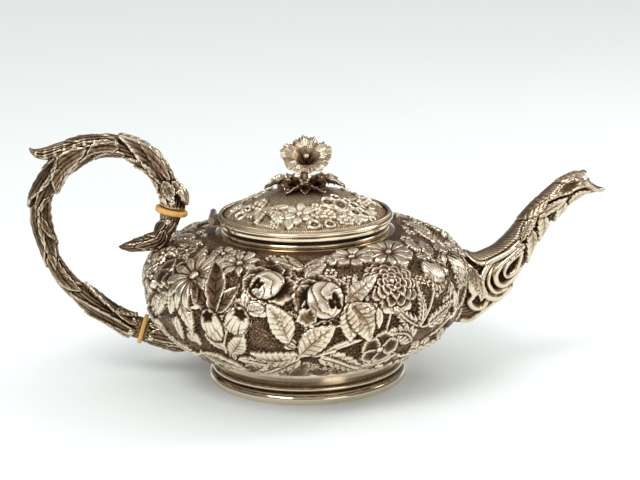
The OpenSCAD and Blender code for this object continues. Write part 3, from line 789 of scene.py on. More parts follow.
def node_group(name: str, inputs: dict[str, object], outputs: Sequence[str]
               ) -> tuple[Wiring, bpy.types.NodeOutputs, bpy.types.NodeInputs]:
    """Starts a shader node group.

    Args:
        name: the group's name.
        inputs: default value of each input, where three numbers are a vector and four are a colour.
        outputs: names of the outputs; Color is a colour and the others are numbers.

    Returns:
        The group's wiring, the sockets that bring its inputs, and the sockets that take its outputs.
    """
    tree = bpy.data.node_groups.new(name, "ShaderNodeTree")
    for key, value in inputs.items():
        kind = {3: "Vector", 4: "Color"}[len(value)] if isinstance(value, tuple) else "Float"
        tree.interface.new_socket(key, in_out="INPUT", socket_type="NodeSocket" + kind).default_value = value
    for key in outputs:
        kind = "Color" if key == "Color" else "Float"
        tree.interface.new_socket(key, in_out="OUTPUT", socket_type="NodeSocket" + kind)
    return Wiring(tree), tree.nodes.new("NodeGroupInput").outputs, tree.nodes.new("NodeGroupOutput").inputs


def tarnish_group() -> bpy.types.NodeTree:
    """Silver's colour and gloss from its patina.

    The mark of patina and painted shade, moved up and down by two sizes of noise, picks a colour between
    bright metal, warm worn metal and dark sulphide. Roughness grows with the same value.
    """
    w, i, o = node_group("tarnish", {
        "Place": (0, 0, 0), "PatinaAndShade": 0.3, "Blotch": 0.2, "Bright": (0.9, 0.88, 0.84, 1),
        "Worn": (0.55, 0.48, 0.4, 1), "Dark": (0.06, 0.04, 0.03, 1), "Gloss": 0.2, "Dull": 0.5},
        ("Color", "Roughness"))
    wide, fine = w.less(w.noise(i["Place"], 110.0), 0.5), w.less(w.noise(i["Place"], 900.0, 2.0), 0.5)
    drift = w.add(wide, w.times(fine, 0.7))
    level = w.add(i["PatinaAndShade"], w.times(drift, i["Blotch"]), True)
    warm = w.mix(w.times(level, 2.0, True), i["Bright"], i["Worn"])
    w.fill(o["Color"], w.mix(w.less(w.times(level, 2.0), 1.0, True), warm, i["Dark"]))
    rough = w.add(i["Gloss"], w.times(level, w.less(i["Dull"], i["Gloss"])))
    w.fill(o["Roughness"], w.add(rough, w.times(fine, 0.08)))
    return w.tree


def tooling_group() -> bpy.types.NodeTree:
    """Height of fine tool work: punched dots where the ground is matted, and faint scratches all over."""
    w, i, o = node_group("tooling", {"Place": (0, 0, 0), "Matting": 0.0, "Punch": 1300.0, "Scratches": 0.3},
                         ("Height", "Pit"))
    dots = w.node("TexVoronoi", Vector=i["Place"], Scale=i["Punch"]).outputs["Distance"]
    w.fill(o["Pit"], w.times(w.less(0.42, dots), i["Matting"]))
    stretch = w.node("Mapping", Vector=i["Place"], Scale=(1.0, 1.0, 5.0), Rotation=(0.3, 0.5, 0.2)).outputs[0]
    scratch = w.times(w.noise(stretch, 420.0, 4.0, 0.7), i["Scratches"])
    w.fill(o["Height"], w.add(w.times(dots, i["Matting"]), scratch))
    return w.tree


def new_material(name: str) -> tuple[bpy.types.Material, Wiring, bpy.types.Node]:
    """Starts a material, and gives its wiring and its Principled shader."""
    m = bpy.data.materials.new(name)
    m.use_nodes = True
    return m, Wiring(m.node_tree), m.node_tree.nodes["Principled BSDF"]


@dataclass(frozen=True)
class Silver:
    """A silver finish.

    Args:
        name: the material's name.
        slot: the record's slot that it fills; not used.
        bright: colour of clean metal.
        worn: colour of warm, worn metal.
        dark: colour of the hollows.
        gloss: roughness where it is clean.
        dull: roughness where it is dark.
        blotch: how much the tarnish drifts.
        punch: punched dots in a metre.
        scratches: height of the scratches.
        bump: depth of the tool work in metres.
    """

    name: str
    slot: Slot
    bright: Colour
    worn: Colour
    dark: Colour
    gloss: float
    dull: float
    blotch: float
    punch: float
    scratches: float
    bump: float

    def build(self, tarnish: bpy.types.NodeTree, tooling: bpy.types.NodeTree) -> bpy.types.Material:
        """Builds the material from the shared groups; the mesh holds the patina, painted shade and matting.
        """
        m, w, shader = new_material(self.name)
        place = w.node("TexCoord").outputs["Object"]
        tool, tone = w.node("Group"), w.node("Group")
        tool.node_tree, tone.node_tree = tooling, tarnish
        w.feed(tool, {"Place": place, "Matting": w.mark("matting"), "Punch": self.punch,
                      "Scratches": self.scratches})
        # Punched pits are darker: tarnish and painted shade.
        level = w.add(w.mark("patina_and_shade"), w.times(tool.outputs["Pit"], 0.9))
        w.feed(tone, {"Place": place, "PatinaAndShade": level, "Bright": self.bright, "Worn": self.worn,
                      "Dark": self.dark, "Blotch": self.blotch, "Gloss": self.gloss, "Dull": self.dull})
        bump = w.node("Bump", Strength=1.0, Distance=self.bump, Height=tool.outputs["Height"])
        w.feed(shader, {"Metallic": 1.0, "Base Color": tone.outputs["Color"],
                        "Roughness": tone.outputs["Roughness"], "Normal": bump.outputs[0]})
        return m


@dataclass(frozen=True)
class Ivory:
    """The insulators' aged yellow finish: mottled colour, fine grain and a waxy gloss."""

    name: str = "aged_ivory"
    slot: Slot = Slot.IVORY
    pale: Colour = (0.74, 0.45, 0.12)
    deep: Colour = (0.40, 0.18, 0.03)

    def build(self) -> bpy.types.Material:
        """Builds the material."""
        m, w, shader = new_material(self.name)
        place = w.node("TexCoord").outputs["Object"]
        level = w.add(w.times(w.noise(place, 320.0, 5.0), 0.9), w.mark("patina_and_shade"), True)
        bump = w.node("Bump", Strength=0.6, Distance=0.0002, Height=w.noise(place, 1400.0))
        w.feed(shader, {"Base Color": w.mix(level, self.pale, self.deep), "Roughness": 0.38,
                        "Subsurface Weight": 0.15, "Subsurface Radius": (0.004, 0.002, 0.001),
                        "Normal": bump.outputs[0]})
        return m


CHASED = Silver("chased_silver", Slot.CHASED, (0.88, 0.78, 0.61), (0.31, 0.195, 0.108), (0.024, 0.014, 0.007),
                gloss=0.25, dull=0.55, blotch=0.22, punch=1250.0, scratches=0.25, bump=0.0005)
CAST = Silver("cast_silver", Slot.CHASED, (0.8, 0.69, 0.51), (0.29, 0.19, 0.11), (0.022, 0.013, 0.008),
              gloss=0.2, dull=0.46, blotch=0.34, punch=1100.0, scratches=0.4, bump=0.0002)
# The lid's copy of the chased silver: rougher, with a lighter worn colour that paints the brighter light on
# it.
ROUGH_LIT = Silver("rough_lit_silver", Slot.CHASED, (0.9, 0.8, 0.62), (0.44, 0.32, 0.19), (0.025, 0.016, 0.008),
                 gloss=0.33, dull=0.56, blotch=0.2, punch=1500.0, scratches=0.3, bump=0.0003)
POLISHED = Silver("polished_silver", Slot.POLISHED, (0.84, 0.73, 0.55), (0.4, 0.27, 0.16),
                  (0.04, 0.024, 0.013), gloss=0.12, dull=0.4, blotch=0.26, punch=1200.0, scratches=0.3,
                  bump=0.00003)
# A darker silver that paints shade on small parts in shadow: the hinge and the finial's stem, washer and nut.
SHADE_PAINTED = Silver("shade_painted_silver", Slot.POLISHED, (0.34, 0.25, 0.17), (0.2, 0.13, 0.08), (0.03, 0.02, 0.012),
              gloss=0.3, dull=0.5, blotch=0.3, punch=1200.0, scratches=0.3, bump=0.00005)
IVORY = Ivory()


@dataclass
class Finishes:
    """Builds every finish once, and puts them on pieces and nodes."""

    made: dict[str, bpy.types.Material] = field(default_factory=dict)

    def __post_init__(self) -> None:
        """Builds the shared groups and the materials."""
        groups = tarnish_group(), tooling_group()
        for finish in (CHASED, CAST, POLISHED, SHADE_PAINTED, ROUGH_LIT):
            self.made[finish.name] = finish.build(*groups)
        self.made[IVORY.name] = IVORY.build()

    def dress(self, obj: Piece, finish: Silver | Ivory, body: str, *nodes: str) -> None:
        """Gives a new piece its finish and body, and hides the CAD nodes that it stands for."""
        obj.data.materials.clear()
        obj.data.materials.append(self.made[finish.name])
        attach(obj, body)
        if nodes:
            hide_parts(*nodes)
        log.info("%s: %d faces on %s", obj.name, len(obj.data.polygons), body)

    def repaint(self, finish: Silver, *nodes: str) -> None:
        """Puts a finish on every slot of some CAD nodes."""
        for node in nodes:
            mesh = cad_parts[node].data
            if not mesh.materials:
                mesh.materials.append(None)
            for k in range(len(mesh.materials)):
                mesh.materials[k] = self.made[finish.name]
            log.info("%s keeps its shape and takes %s", node, finish.name)


# ---------------- the body

# Raised blanks of half the garland, as in the CAD source: angle from the front, latitude, radius in mm.
BODY_FLOWERS = (
    (-14, 25, 12), (7, 13, 12), (-30, 40, 8.5), (-44, 24, 13.5), (-60, 22, 6.5), (-43, 46, 5.5), (32, 21, 12),
    (43, 44, 10.5), (23, 45, 8), (55, 22, 6.5), (71, 21, 6.5), (26, -21, 8.5), (-75, 31, 5.5), (-68, 7, 5),
    (-73, -19, 5), (66, -17, 5))
# Angle and latitude of each leaf's stalk and of its tip, then its width.
BODY_LEAVES = (
    (-2, -22, 10, -5, 10), (-6, -14, -12, 0, 10), (-5, -22, -19, -21, 8), (15, 2, 20, -14, 11),
    (-33, -12, -34, 2, 9), (-24, -8, -20, 9, 9), (-48, -1, -41, -14, 8), (-56, -1, -61, -12, 8),
    (39, -23, 30, -12, 8), (45, -13, 57, -7, 8), (41, -10, 41, -1, 7), (0, -26, -18, -44, 10),
    (2, -26, 20, -41, 10), (-43, -29, -26, -39, 9), (-48, -33, -65, -22, 9), (40, -34, 64, -31, 8),
    (30, -46, 56, -48, 9), (-54, 35, -60, 47, 7), (60, 39, 66, 48, 7), (1, 35, 10, 47, 8),
    (-2, 38, -15, 47, 8), (-38, -49, -60, -46, 9))


@dataclass
class ChasedBody:
    """The squat body: a sheet over the CAD shell, chased with a garland that is repeated on the far side.

    Args:
        belly_r: radius at the widest ring.
        belly_z: height of the widest ring.
        bowl: squareness of the bowl, and its height over the widest ring, which is below 0.
        shoulder: squareness of the shoulder, and its height.
        foot_r: radius of the top of the foot, where the sheet starts.
        collar_r: radius of the collar's foot, where it ends.
        tucked: how far it runs on under the foot and under the collar.
        chased: distances up the skin between which it is chased.
        fade: distance over which the chasing ends there.
        uneven: height of the waves in bare ground.
        proud: how far bare ground stands off the CAD shell.
        raised: share of the chasing's height that is kept over the raised blanks.
        flower_lift: height of the blanks under the flowers.
        leaf_lift: height of the blanks under the leaves.
        columns: points round one garland.
        rows: points from foot to collar.
        sectors: pieces that the sheet is cut into.
    """

    belly_r: float = 80.6
    belly_z: float = 56.3
    bowl: Pair = (2.45, -47.0)
    shoulder: Pair = (1.97, 22.6)
    foot_r: float = 45.8
    collar_r: float = 45.0
    tucked: Pair = (1.4, 1.2)
    chased: Pair = (1.5, 96.5)
    fade: float = 2.5
    uneven: float = 0.12
    proud: float = 0.3
    raised: float = 0.85
    flower_lift: float = 1.42
    leaf_lift: float = 0.95
    columns: int = 632
    rows: int = 256
    sectors: int = 4
    line: Array = field(init=False)
    v: Array = field(init=False)
    foot_z: float = field(init=False)

    def __post_init__(self) -> None:
        """Works out the outline: two superellipse quarters, spread evenly by arc length.

        The distance v up the skin starts from the place where the outline has the foot's radius.
        """
        t = np.linspace(0, np.pi / 2, 4000)
        low, top = (np.stack([self.belly_r * np.sin(t) ** (2 / power),
                              self.belly_z + rise * np.cos(t) ** (2 / power)], 1)
                    for power, rise in (self.bowl, self.shoulder))
        top = top[-2::-1]
        whole = np.vstack([low[low[:, 0] > self.foot_r - self.tucked[0]],
                           top[top[:, 0] > self.collar_r - self.tucked[1]]])
        self.line, at = respace(whole, self.rows)
        bowl = self.line[:, 1] < self.belly_z
        r, z = self.line[bowl].T
        self.v = at - np.interp(self.foot_r, r, at[bowl])
        self.foot_z = float(np.interp(self.foot_r, r, z))

    def place(self, angle: float, latitude: float) -> Point:
        """Angle and distance up the skin of a place that is given by its latitude, as in the CAD source."""
        power, rise = self.bowl if latitude < 0 else self.shoulder
        z = self.belly_z + rise * abs(heading(latitude)[1]) ** (2 / power)
        return angle, float(np.interp(z, self.line[:, 1], self.v))

    def swell(self, relief: Relief) -> Array:
        """Height of the blanks under the main flowers and leaves: the CAD's, with a wider and softer edge."""
        discs = (relief.disc(self.place(*row[:2]), row[2]) for row in BODY_FLOWERS)
        blades = (relief.blade(self.place(*row[:2]), self.place(*row[2:4]), row[4]) for row in BODY_LEAVES)
        return np.maximum(relief.swollen(discs, self.flower_lift, 2.6, 1.9),
                          relief.swollen(blades, self.leaf_lift, 2.2, 1.7))

    def radius_at(self, z: Array) -> Array:
        """Radius of the body's outline at a height."""
        return np.interp(z, self.line[:, 1], self.line[:, 0], left=0.0, right=0.0)

    def roses(self, c: Chaser) -> None:
        """The two roses in the middle, with the leaves that spring from them."""
        c.leaves((
            (-2, 37.5, 10, 53, 12.5, 0.1, 7, 0.12, 1.7), (-5.5, 44.5, -12.3, 62.5, 12, -0.16, 7, 0.12, 1.7),
            (-3, 37, -19.8, 38, 11, 0.34, 8, 0.14, 1.7), (-0.5, 83, -16.5, 91.5, 7.5, -0.05, 6, 0.16, 1.5),
            (-0.6, 84, -7.5, 95.5, 5.5, 0.1, 6, 0.16, 1.3), (0, 84, 11, 94.8, 7, -0.05, 6, 0.16, 1.5),
            (0.2, 77, 9, 86.5, 8, 0.1, 6, 0.12, 1.5), (12.5, 61, 27, 74, 9, 0.05, 7, 0.16, 1.5),
            (13, 61, 15, 43.5, 9, 0.06, 7, 0.14, 1.7), (14.5, 61.5, 21, 43.5, 14.5, 0.3, 8, 0.1, 1.8),
            (24.5, 58.5, 24.5, 48.5, 4, 0.1, 4, 0.08, 2)))
        c.rose((-13.6, 71.9), 8, (
            (20, 14.5), (62, 14), (100, 15), (142, 13.5), (182, 12), (225, 10), (-70, 10.5), (-22, 14.5)),
            (-4.2, -1.6), 1)
        c.rose((6.6, 64.5), 8.3, (
            (35, 12.5), (80, 13), (118, 14.5), (150, 13.5), (182, 14.5), (-40, 9.5), (-95, 10), (-135, 12.5)),
            (4.2, -1.8), 2)
        c.petal((0.6, 57), 200, -4.2, 4.8, 8, 1.7, 0.1, 0.45, 5, 0.1)

    def left_flowers(self, c: Chaser) -> None:
        """Daisy, star flower, lance leaves, cup buds and the leaves under them."""
        c.leaves((
            (-52, 66, -62, 84, 7, 0.1), (-50, 74, -58, 92, 6, -0.1), (-44, 82, -50, 96, 6.5, 0.1),
            (-47.5, 61, -41, 45, 9, 0.12), (-50, 62, -52, 50, 8, -0.1), (-54, 60, -60.5, 47.5, 8, -0.1),
            (-44, 46, -40.5, 36.5, 5.5, 0.1), (-49, 50, -49.5, 37, 6, -0.1)), 6, 0.2, 1.5, Blade(lift=0.4))
        c.daisies(((-33, 92, 6.5, 6, 10), (-43, 89.5, 6.5, 6, 40)), 2.4, 0.3, 0.16, 1.1)
        c.daisy((-29.6, 84.4), 10.5, 8, 28, 1.15, 0.52, 0.15, 1.4)
        c.blossom((-57.5, 70), 9.5, 100, 1.3)
        c.daisy((-44.2, 71), 16.5, 13, 8, 1.2, 0.42, 0.13, 1.7, 0.92, 70)
        c.stem(((-30, 34.5), (-29.8, 38), (-30.3, 42)), 1.6, 1.2)
        c.stem(((-29.6, 39), (-28.4, 44), (-26.4, 49.5)), 1.3, 1.1)
        c.leaves((
            (-29, 37, -36.8, 44.6, 5.5, 0.1, 6, 0.1, 1.3), (-28, 34.5, -20.8, 48, 9, -0.12, 7, 0.12, 1.5)))
        lance = Blade(0.2, 0.75)
        c.leaves(((-31, 56, -42.4, 68.4, 8, 0.06), (-31, 56.5, -24, 70.5, 8, -0.06)), 5, 0.06, 1.5, lance)
        c.leaf((-31, 56), (-39.2, 81.5), 9.5, -0.2, 5, 0.06, 1.6, Blade(0.2, 0.75, keep=0.05))
        c.leaf((-19.4, 58), (-20.4, 69), 5, 0, 3, 0.04, 1.4, Blade(0.2))
        c.leaf((-19, 58.6), (-12.8, 60.6), 6.6, 0, 6, 0.1, 1.4)
        c.cup((-32.6, 49.6), 102, 16.5, 11)
        c.cup((-22.8, 53.6), 58, 14.5, 12)

    def right_flowers(self, c: Chaser) -> None:
        """Dahlia, shoulder daisies, seed heads, fern leaves and the blossom below."""
        c.leaves((
            (60, 82, 66, 94, 6, 0.1), (62, 78, 72, 88, 7, -0.1), (55, 83, 58, 96, 5.5, 0.1),
            (70, 74, 80, 80, 7, 0.1), (48, 96, 57, 90, 5, 0.1), (66, 46, 60.5, 57, 6, 0.1),
            (70, 36, 75, 52, 7, 0.1), (74, 54, 81, 64, 7, -0.1), (64, 30, 57, 38, 6, 0.1)),
            6, 0.18, 1.4, Blade(lift=0.4))
        c.stem(((48.4, 62), (46.2, 53), (42.6, 45)), 1.3, 1.1)
        c.stem(((29.4, 57), (28.4, 50.5), (27, 44)), 1.2, 1)
        c.stem(((66.5, 58), (62, 44), (52, 36)), 1.2, 1)
        c.daisy((43, 88.5), 14.5, 11, 12, 2.4, 0.28, 0.12, 1.6, 0.82, 20)
        c.daisy((22.8, 90), 12.5, 9, -90, 2.2, 0.3, 0.14, 1.5, 0.62, 0)
        c.leaf((20.5, 78.5), (17, 70), 2.6, 0, 3, 0.05, 1.2)
        c.dahlia((31.6, 69), 13.8, 0.94, 70)
        c.fronds(((41, 45.5, 36, 50, 30.6, 57, 5, 5, 3.6, 52, 1.3, 0.45, 1.2),
                  (42, 46, 42.2, 54, 41.2, 64.5, 7, 4.6, 2.6, 48, 1.2, 0.45, 1.2),
                  (44, 44, 50, 47.5, 58.5, 51.5, 6, 6.2, 3.8, 50, 1.4, 0.45, 1.2),
                  (40.5, 36.5, 36, 43.5, 29, 45.5, 5, 7, 4.4, 58, 1.5, 0.45, 1.2)))
        c.fluted((53, 69.2), 62, 13.5, 12)
        c.fluted((69, 65), 70, 14.5, 11)
        c.blossom((26, 37.8), 9.6, 82, 1.6)
        c.knob((77, 31), 2.4, 1.5)

    def hanging_leaves(self, c: Chaser) -> None:
        """The wavy acanthus ribbons and leaves that hang over the foot."""
        for k, u in enumerate(range(-88, 90, 11)):
            side = 1 if k % 2 else -1
            tip = (u + 4.5 * side, 3.5 + 2 * (k % 2))
            c.leaf((u, 26 + 3 * (k % 3)), tip, 9.5, 0.12 * side, 5, 0.2, 0.9, Blade(0.2, 0.3))
        c.fronds(((0.5, 37.5, -7, 31, -21.5, 14.5, 6, 8, 6, 42, 1.4, 0.6, 1.8),
                  (2, 37.5, 11, 32.5, 22.5, 20, 6, 8, 6, 48, 1.5, 0.6, 1.8),
                  (-43, 31.5, -35, 26, -26, 20.5, 5, 5.5, 5, 40, 1.4, 0.7, 2)))
        c.leaf((-43.5, 30), (-26.5, 24), 6.5, 0.22, 6, 0.08, 1.6, Blade(0.3, 0.4))
        c.fronds(((-47, 27, -56, 30, -67, 40, 6, 7, 5, 46, 1.3, 0.6, 1.6),
                  (-15, 27, -19, 29.5, -24.5, 30.5, 3, 5, 5, 50, 1.5, 0.7, 1.6)))
        c.leaf((7, 38), (19.8, 43.6), 3.6, 0.14, 3, 0.04, 1.4)
        c.stem(((-3, 36.5), (3, 36.5), (10, 38.4)), 1.5, 1.3)
        c.fronds(((39, 26.5, 52, 29, 70, 29.5, 7, 4.6, 4.2, 40, 1.3, 0.7, 1.6),
                  (28.5, 14.5, 42, 17, 60, 12, 7, 5.2, 4.8, 44, 1.2, 0.7, 1.6),
                  (36, 29, 31, 24, 24, 22.5, 4, 5, 4.4, 44, 1.3, 0.7, 1.5)))

    def filler(self, c: Chaser) -> None:
        """Small leaves and buds scattered over a lattice, low enough for the main motifs to cover them."""
        pick = np.random.default_rng(7)
        low = Blade(ribs=0.08)
        for row, v in enumerate(np.arange(8, 95, 6.6)):
            count = int(np.pi * float(np.interp(v, self.v, self.line[:, 0])) / 7.2)
            for k in range(count):
                at = (-90 + 180 * (k + 0.5 * (row % 2) + 0.5 * pick.random()) / count, v)
                angle = pick.uniform(0, 360)
                crowded = abs(at[0]) < 46 and v > 30
                kind, size = pick.random() + 0.45 * crowded, pick.uniform(4, 6.4)
                if kind < 0.5:
                    for turn, bend in ((-28.65, -0.1), (28.65, 0.1)):
                        c.leaf(at, c.relief.away(at, angle + turn, size), 2.7, bend, 3, 0.1, 0.75, low)
                    c.leaf(at, c.relief.away(at, angle, 1.25 * size), 2.7, 0, 3, 0.1, 0.85, low)
                elif kind < 0.62:
                    c.daisy(at, size * 0.62, 6, angle, 2.2, 0.3, 0.3, 0.9, crease=0.1)

    def side_leaves(self, c: Chaser) -> None:
        """Sprays round the spout's root and the handle's sockets, which join one garland to the next."""
        for rib in ((-70, 78, -76, 66, -84, 54), (-72, 52, -79, 46, -88, 42), (-68, 92, -76, 88, -86, 84),
                    (80, 76, 86, 84, 94, 90), (82, 62, 88, 52, 92, 40), (76, 22, 84, 26, 94, 28)):
            c.fronds(((*rib, 6, 6, 4.6, 50, 1.3, 0.6, 1.2),))
        c.daisies(((-66, 63), (-76, 74), (-83, 66), (86, 70)), 6.5, 7, 20, 2.2, 0.3, 0.18, 1.3)
        for at in ((-68, 84), (-73, 40), (80, 48)):
            c.blossom(at, 5.5, 90, 1.2)

    def build(self, finishes: Finishes) -> None:
        """Chases one garland, repeats it, lays it on the outline and cuts the sheet into sectors."""
        u = np.linspace(-90, 90, self.columns, endpoint=False) * np.ones((self.rows, 1))
        v = self.v[:, None] * np.ones((1, self.columns))
        relief = Relief(u, v, np.radians(self.line[:, :1]) * np.ones_like(u), 180.0)
        chaser = Chaser(relief)
        for strike in (self.filler, self.hanging_leaves, self.side_leaves, self.right_flowers,
                       self.left_flowers, self.roses):
            strike(chaser)
        rim = ease((v - self.chased[0]) / self.fade) * (1 - ease((v - self.chased[1]) / self.fade))
        height = (relief.height + self.uneven * ripple(u * 1.4, v, 5, 9.0) * relief.ground) * rim
        ground = relief.ground * (0.35 + 0.65 * rim) * rim
        dark = patina_and_shade_of(height, ground, relief.tone * rim, float(self.v[1] - self.v[0]), 0.46, 1.35, 0.28)
        # Painted shade: darker in the plain band that runs under the collar and towards the bottom of the
        # bowl.
        dark = np.clip(dark + 0.3 * (1 - rim) * (v > 50) + 0.16 * ease((26 - v) / 26), 0, 1)
        lift, dark, matting = (np.tile(grid, (1, 2)) for grid in (
            self.proud + self.raised * height + self.swell(relief), dark, ground))
        points = lifted(self.line, right_of(self.line), lift, all_round(2 * self.columns) - np.pi)
        self.sheet(points, dark, matting, finishes)

    def sheet(self, points: Array, dark: Array, matting: Array, finishes: Finishes) -> None:
        """Cuts the whole ring into sectors that share their border, with the ring's own normals on each."""
        du = np.roll(points, -1, 1) - np.roll(points, 1, 1)
        normal = np.cross(du, np.gradient(points, axis=0))
        normal /= np.linalg.norm(normal, axis=2)[:, :, None]
        width = points.shape[1] // self.sectors
        for k in range(self.sectors):
            take = np.arange(k * width, (k + 1) * width + 1) % points.shape[1]
            obj = surface(f"body_sheet_{k + 1}", points[:, take], (False, False), (0, 0, self.belly_z),
                          dark[:, take], matting[:, take])
            obj.data.normals_split_custom_set_from_vertices(normal[:, take].reshape(-1, 3).tolist())
            finishes.dress(obj, CHASED, "pot")


# ---------------- cast limbs

@dataclass
class Limb:
    """A tube along stations in the XZ plane, chased alike on both flanks.

    Args:
        stations: rows of x, z, radius in the plane and radius along Y.
        columns: points round each ring.
        origin: distance from the first station to the place where u is 0.
        cell: spacing of the rings in mm.
    """

    stations: Sequence[Row]
    columns: int
    origin: float = 0.0
    cell: float = 0.36

    def __post_init__(self) -> None:
        """Spreads rings evenly, and gives each grid point its place along and round the limb.

        Round the limb, v is the arc from the middle of a flank, positive towards the side that the plane
        normal (-dz, dx) points to.
        """
        curve = flow(self.stations, 14)
        self.line, s = respace(curve, int(arc_length(curve[:, :2])[-1] / self.cell) + 1)
        self.s = s - self.origin
        self.side = -right_of(self.line[:, :2])
        self.turn = all_round(self.columns)
        fold = np.minimum(self.turn, FULL_TURN - self.turn)
        u = np.repeat(self.s[:, None], self.columns, 1)
        mean = (self.line[:, 2:3] + self.line[:, 3:4]) / 2
        self.relief = Relief(u, (np.pi / 2 - fold) * mean, np.ones_like(u))

    def ends(self, start: float, end: float) -> Array:
        """Smooth step from 0 at both ends of the limb to 1 at a distance from them."""
        return ease(self.relief.u / start) * ease((self.s[-1] - self.relief.u) / end)

    def at(self, s: Array, grow: Array | float) -> Array:
        """Places on the limb.

        Each ring is an ellipse, and a point moves out along the ellipse's own normal by grow.

        Args:
            s: place along the limb for each row and column.
            grow: distance outside the plain tube.

        Returns:
            Grid of points.
        """
        s = np.broadcast_to(s, (len(s), self.columns))
        x, z, a, b, nx, nz = (np.interp(s, self.s, column) for column in (*self.line.T, *self.side.T))
        c, d = np.cos(self.turn), np.sin(self.turn)
        ox, oy = c / a, d / b
        size = np.hypot(ox, oy)
        flat, out = a * c + grow * ox / size, b * d + grow * oy / size
        return np.stack([x + nx * flat, out, z + nz * flat], axis=-1)

    def marks(self, height: Array, base: float = 0.5, floor: float = 0.1, gain: float = 1.2) -> Array:
        """Darkness of the limb's skin: patina and painted shade in its hollows."""
        return patina_and_shade_of(height, self.relief.ground, self.relief.tone, self.cell, base, gain, floor)


@dataclass
class Spout:
    """The cast spout: a skin over the tube, a rolled lip along the scooped mouth, and the channel inside.

    Args:
        body: the body that it grows from.
        wall: thickness of the casting.
        scoop: place and radius of the round cut at the mouth, in the XZ plane.
        rings: rings from root to mouth.
        fades: distance along the spout where the chasing starts to get lower.
        hatching: spacing of the strap's hatched lines.
        ribbing: spacing of the ribs in the gaps.
    """

    body: ChasedBody
    wall: float = 1.3
    scoop: Triple = (150.3, 104.0, 11.4)
    rings: int = 270
    fades: float = 97.0
    hatching: float = 1.4
    ribbing: float = 2.0

    def limb(self) -> Limb:
        """The spout's line as in the CAD source, by distance outside the belly."""
        rows = (
            (-16, 43.5, 16, 13), (-9, 45, 18.5, 15), (-2.1, 45.6, 18.6, 14.8), (4.2, 47.2, 15.6, 13.4),
            (10.4, 50, 12.8, 11.8), (15.8, 54.2, 10.9, 10.6), (20.1, 58.6, 9.2, 9.6), (23.8, 63.7, 7.8, 8.6),
            (27.2, 68.8, 6.8, 7.8), (31.5, 75, 6.4, 7.2), (36, 80.8, 6.2, 6.8), (41.6, 86.6, 6.1, 6.5),
            (48, 91.8, 6.3, 6.5), (54.6, 95.8, 6, 6.3), (60, 97.4, 5.7, 5.8), (70.5, 98.6, 5.4, 4.6))
        return Limb([(self.body.belly_r + out, *row) for out, *row in rows], 176, 9.0)

    def chase(self, c: Chaser) -> None:
        """Scrolls at the root under a plain strap, and leaves with tips along the underside and neck."""
        for width, high, points in (
                (2.4, 1.6, ((3, -16), (5.6, -17.7), (9.3, -15.1), (14.5, -12.8), (18, -12.6))),
                (2.5, 1.7, ((13, -8.9), (11.6, -10.6), (8.8, -9.8), (7, -7.1), (6.5, -4.4), (8.4, -3))),
                (3.2, 1.6, ((11, 8), (8.6, 1.4), (10, -1.8))), (2.6, 1.5, ((7, 22), (9.5, 14), (13, 9))),
                (3.2, 1.9, ((40, 0), (31.4, 4.6), (22.9, 6), (15.5, 2.6), (14, -3.4), (16, -8.1), (19.5, -12),
                            (24, -11.5))),
                (2.1, 1.5, ((38, -0.6), (31, 2.4), (24.8, 3.6), (18.9, 1.5), (17.5, -2.6), (18.6, -6.6),
                            (22.5, -9))),
                (3.0, 1.8, ((42.5, -0.8), (36.4, 0.4), (29, 1.9), (23.6, 1.2), (21.2, -2.2), (22.6, -5.8),
                            (27, -7.2), (33, -6.5))),
                (1.9, 1.9, ((40, -2), (35, -0.4), (30.5, 0.1), (27, -1), (26.2, -3.3), (28.8, -4.8),
                            (33, -4.4), (38.5, -2.6))),
                (2.6, 1.7, ((11, 23), (15.5, 13.6), (21.4, 8.6), (28.8, 6), (36, 3.4), (43, 1.4)))):
            c.stem(points, width, high)
        for *row, high in (
                (47, 2, 58, 1.5, 5, 0, 1.2), (52, 0.5, 35.5, -10.5, 7.5, 0.12, 1.6),
                (61.5, 1, 47.5, -9.5, 7.5, 0.12, 1.7), (73.5, -1, 61, -9.5, 7, 0.12, 1.7),
                (44, 0.8, 63, 2.4, 4.4, 0.1, 1.5), (58, 2, 76, -1, 4.6, -0.1, 1.4),
                (68, 4, 50.5, 10.4, 8, 0.12, 1.3), (88, 5, 75, 9.4, 6, 0.1, 1.3),
                (14, 9, 9, -2, 6, 0.15, 1.2), (14, 2, 11, -7, 4.5, 0.15, 1.1),
                (74, -5, 89, -4, 4.6, 0.08, 0.8)):
            c.leaves((row,), 6, 0.2, high, Blade(0.6, 0.2, keep=0.1))
        c.petal((79, 2.4), 0, -5.6, 6.0, 5.2, 0.9, dished=0.9, keep=0.3)
        c.knob((8.0, 22.0), 3.2, 2.6, 0.1923, 0.5)

    def skin(self, limb: Limb) -> tuple[Array, Array]:
        """Height and darkness of the whole skin: a hatched strap along the top, ribs in the gaps below."""
        relief, u, v = limb.relief, limb.relief.u, limb.relief.v
        edge = np.interp(u, (0, 12, 15.5, 21.4, 28.8, 36, 42.5, 54, 60, 68, 76, 90),
                         (26, 22, 13, 8.2, 5.6, 3.2, 1.2, 0.7, 1.9, 1.7, -1, -2))
        strap = ease((v - edge) / 1.5)
        hatch = 0.1 * np.cos(FULL_TURN * (u + 0.7 * v) / self.hatching) + 0.06 * ripple(u, v, 3, 3.0)
        ribs = 0.16 * np.cos(FULL_TURN * v / self.ribbing) - 0.1
        height = relief.height + relief.ground * (strap * (0.9 + hatch) + ribs * (1 - strap))
        # Painted shade: bare ground in the ribbed gaps below the strap, on the underside, is darker.
        dark = limb.marks(height, 0.3, 0.02, 0.95) + 0.26 * relief.ground * (1 - strap)
        return height, np.clip(dark, 0, 1)

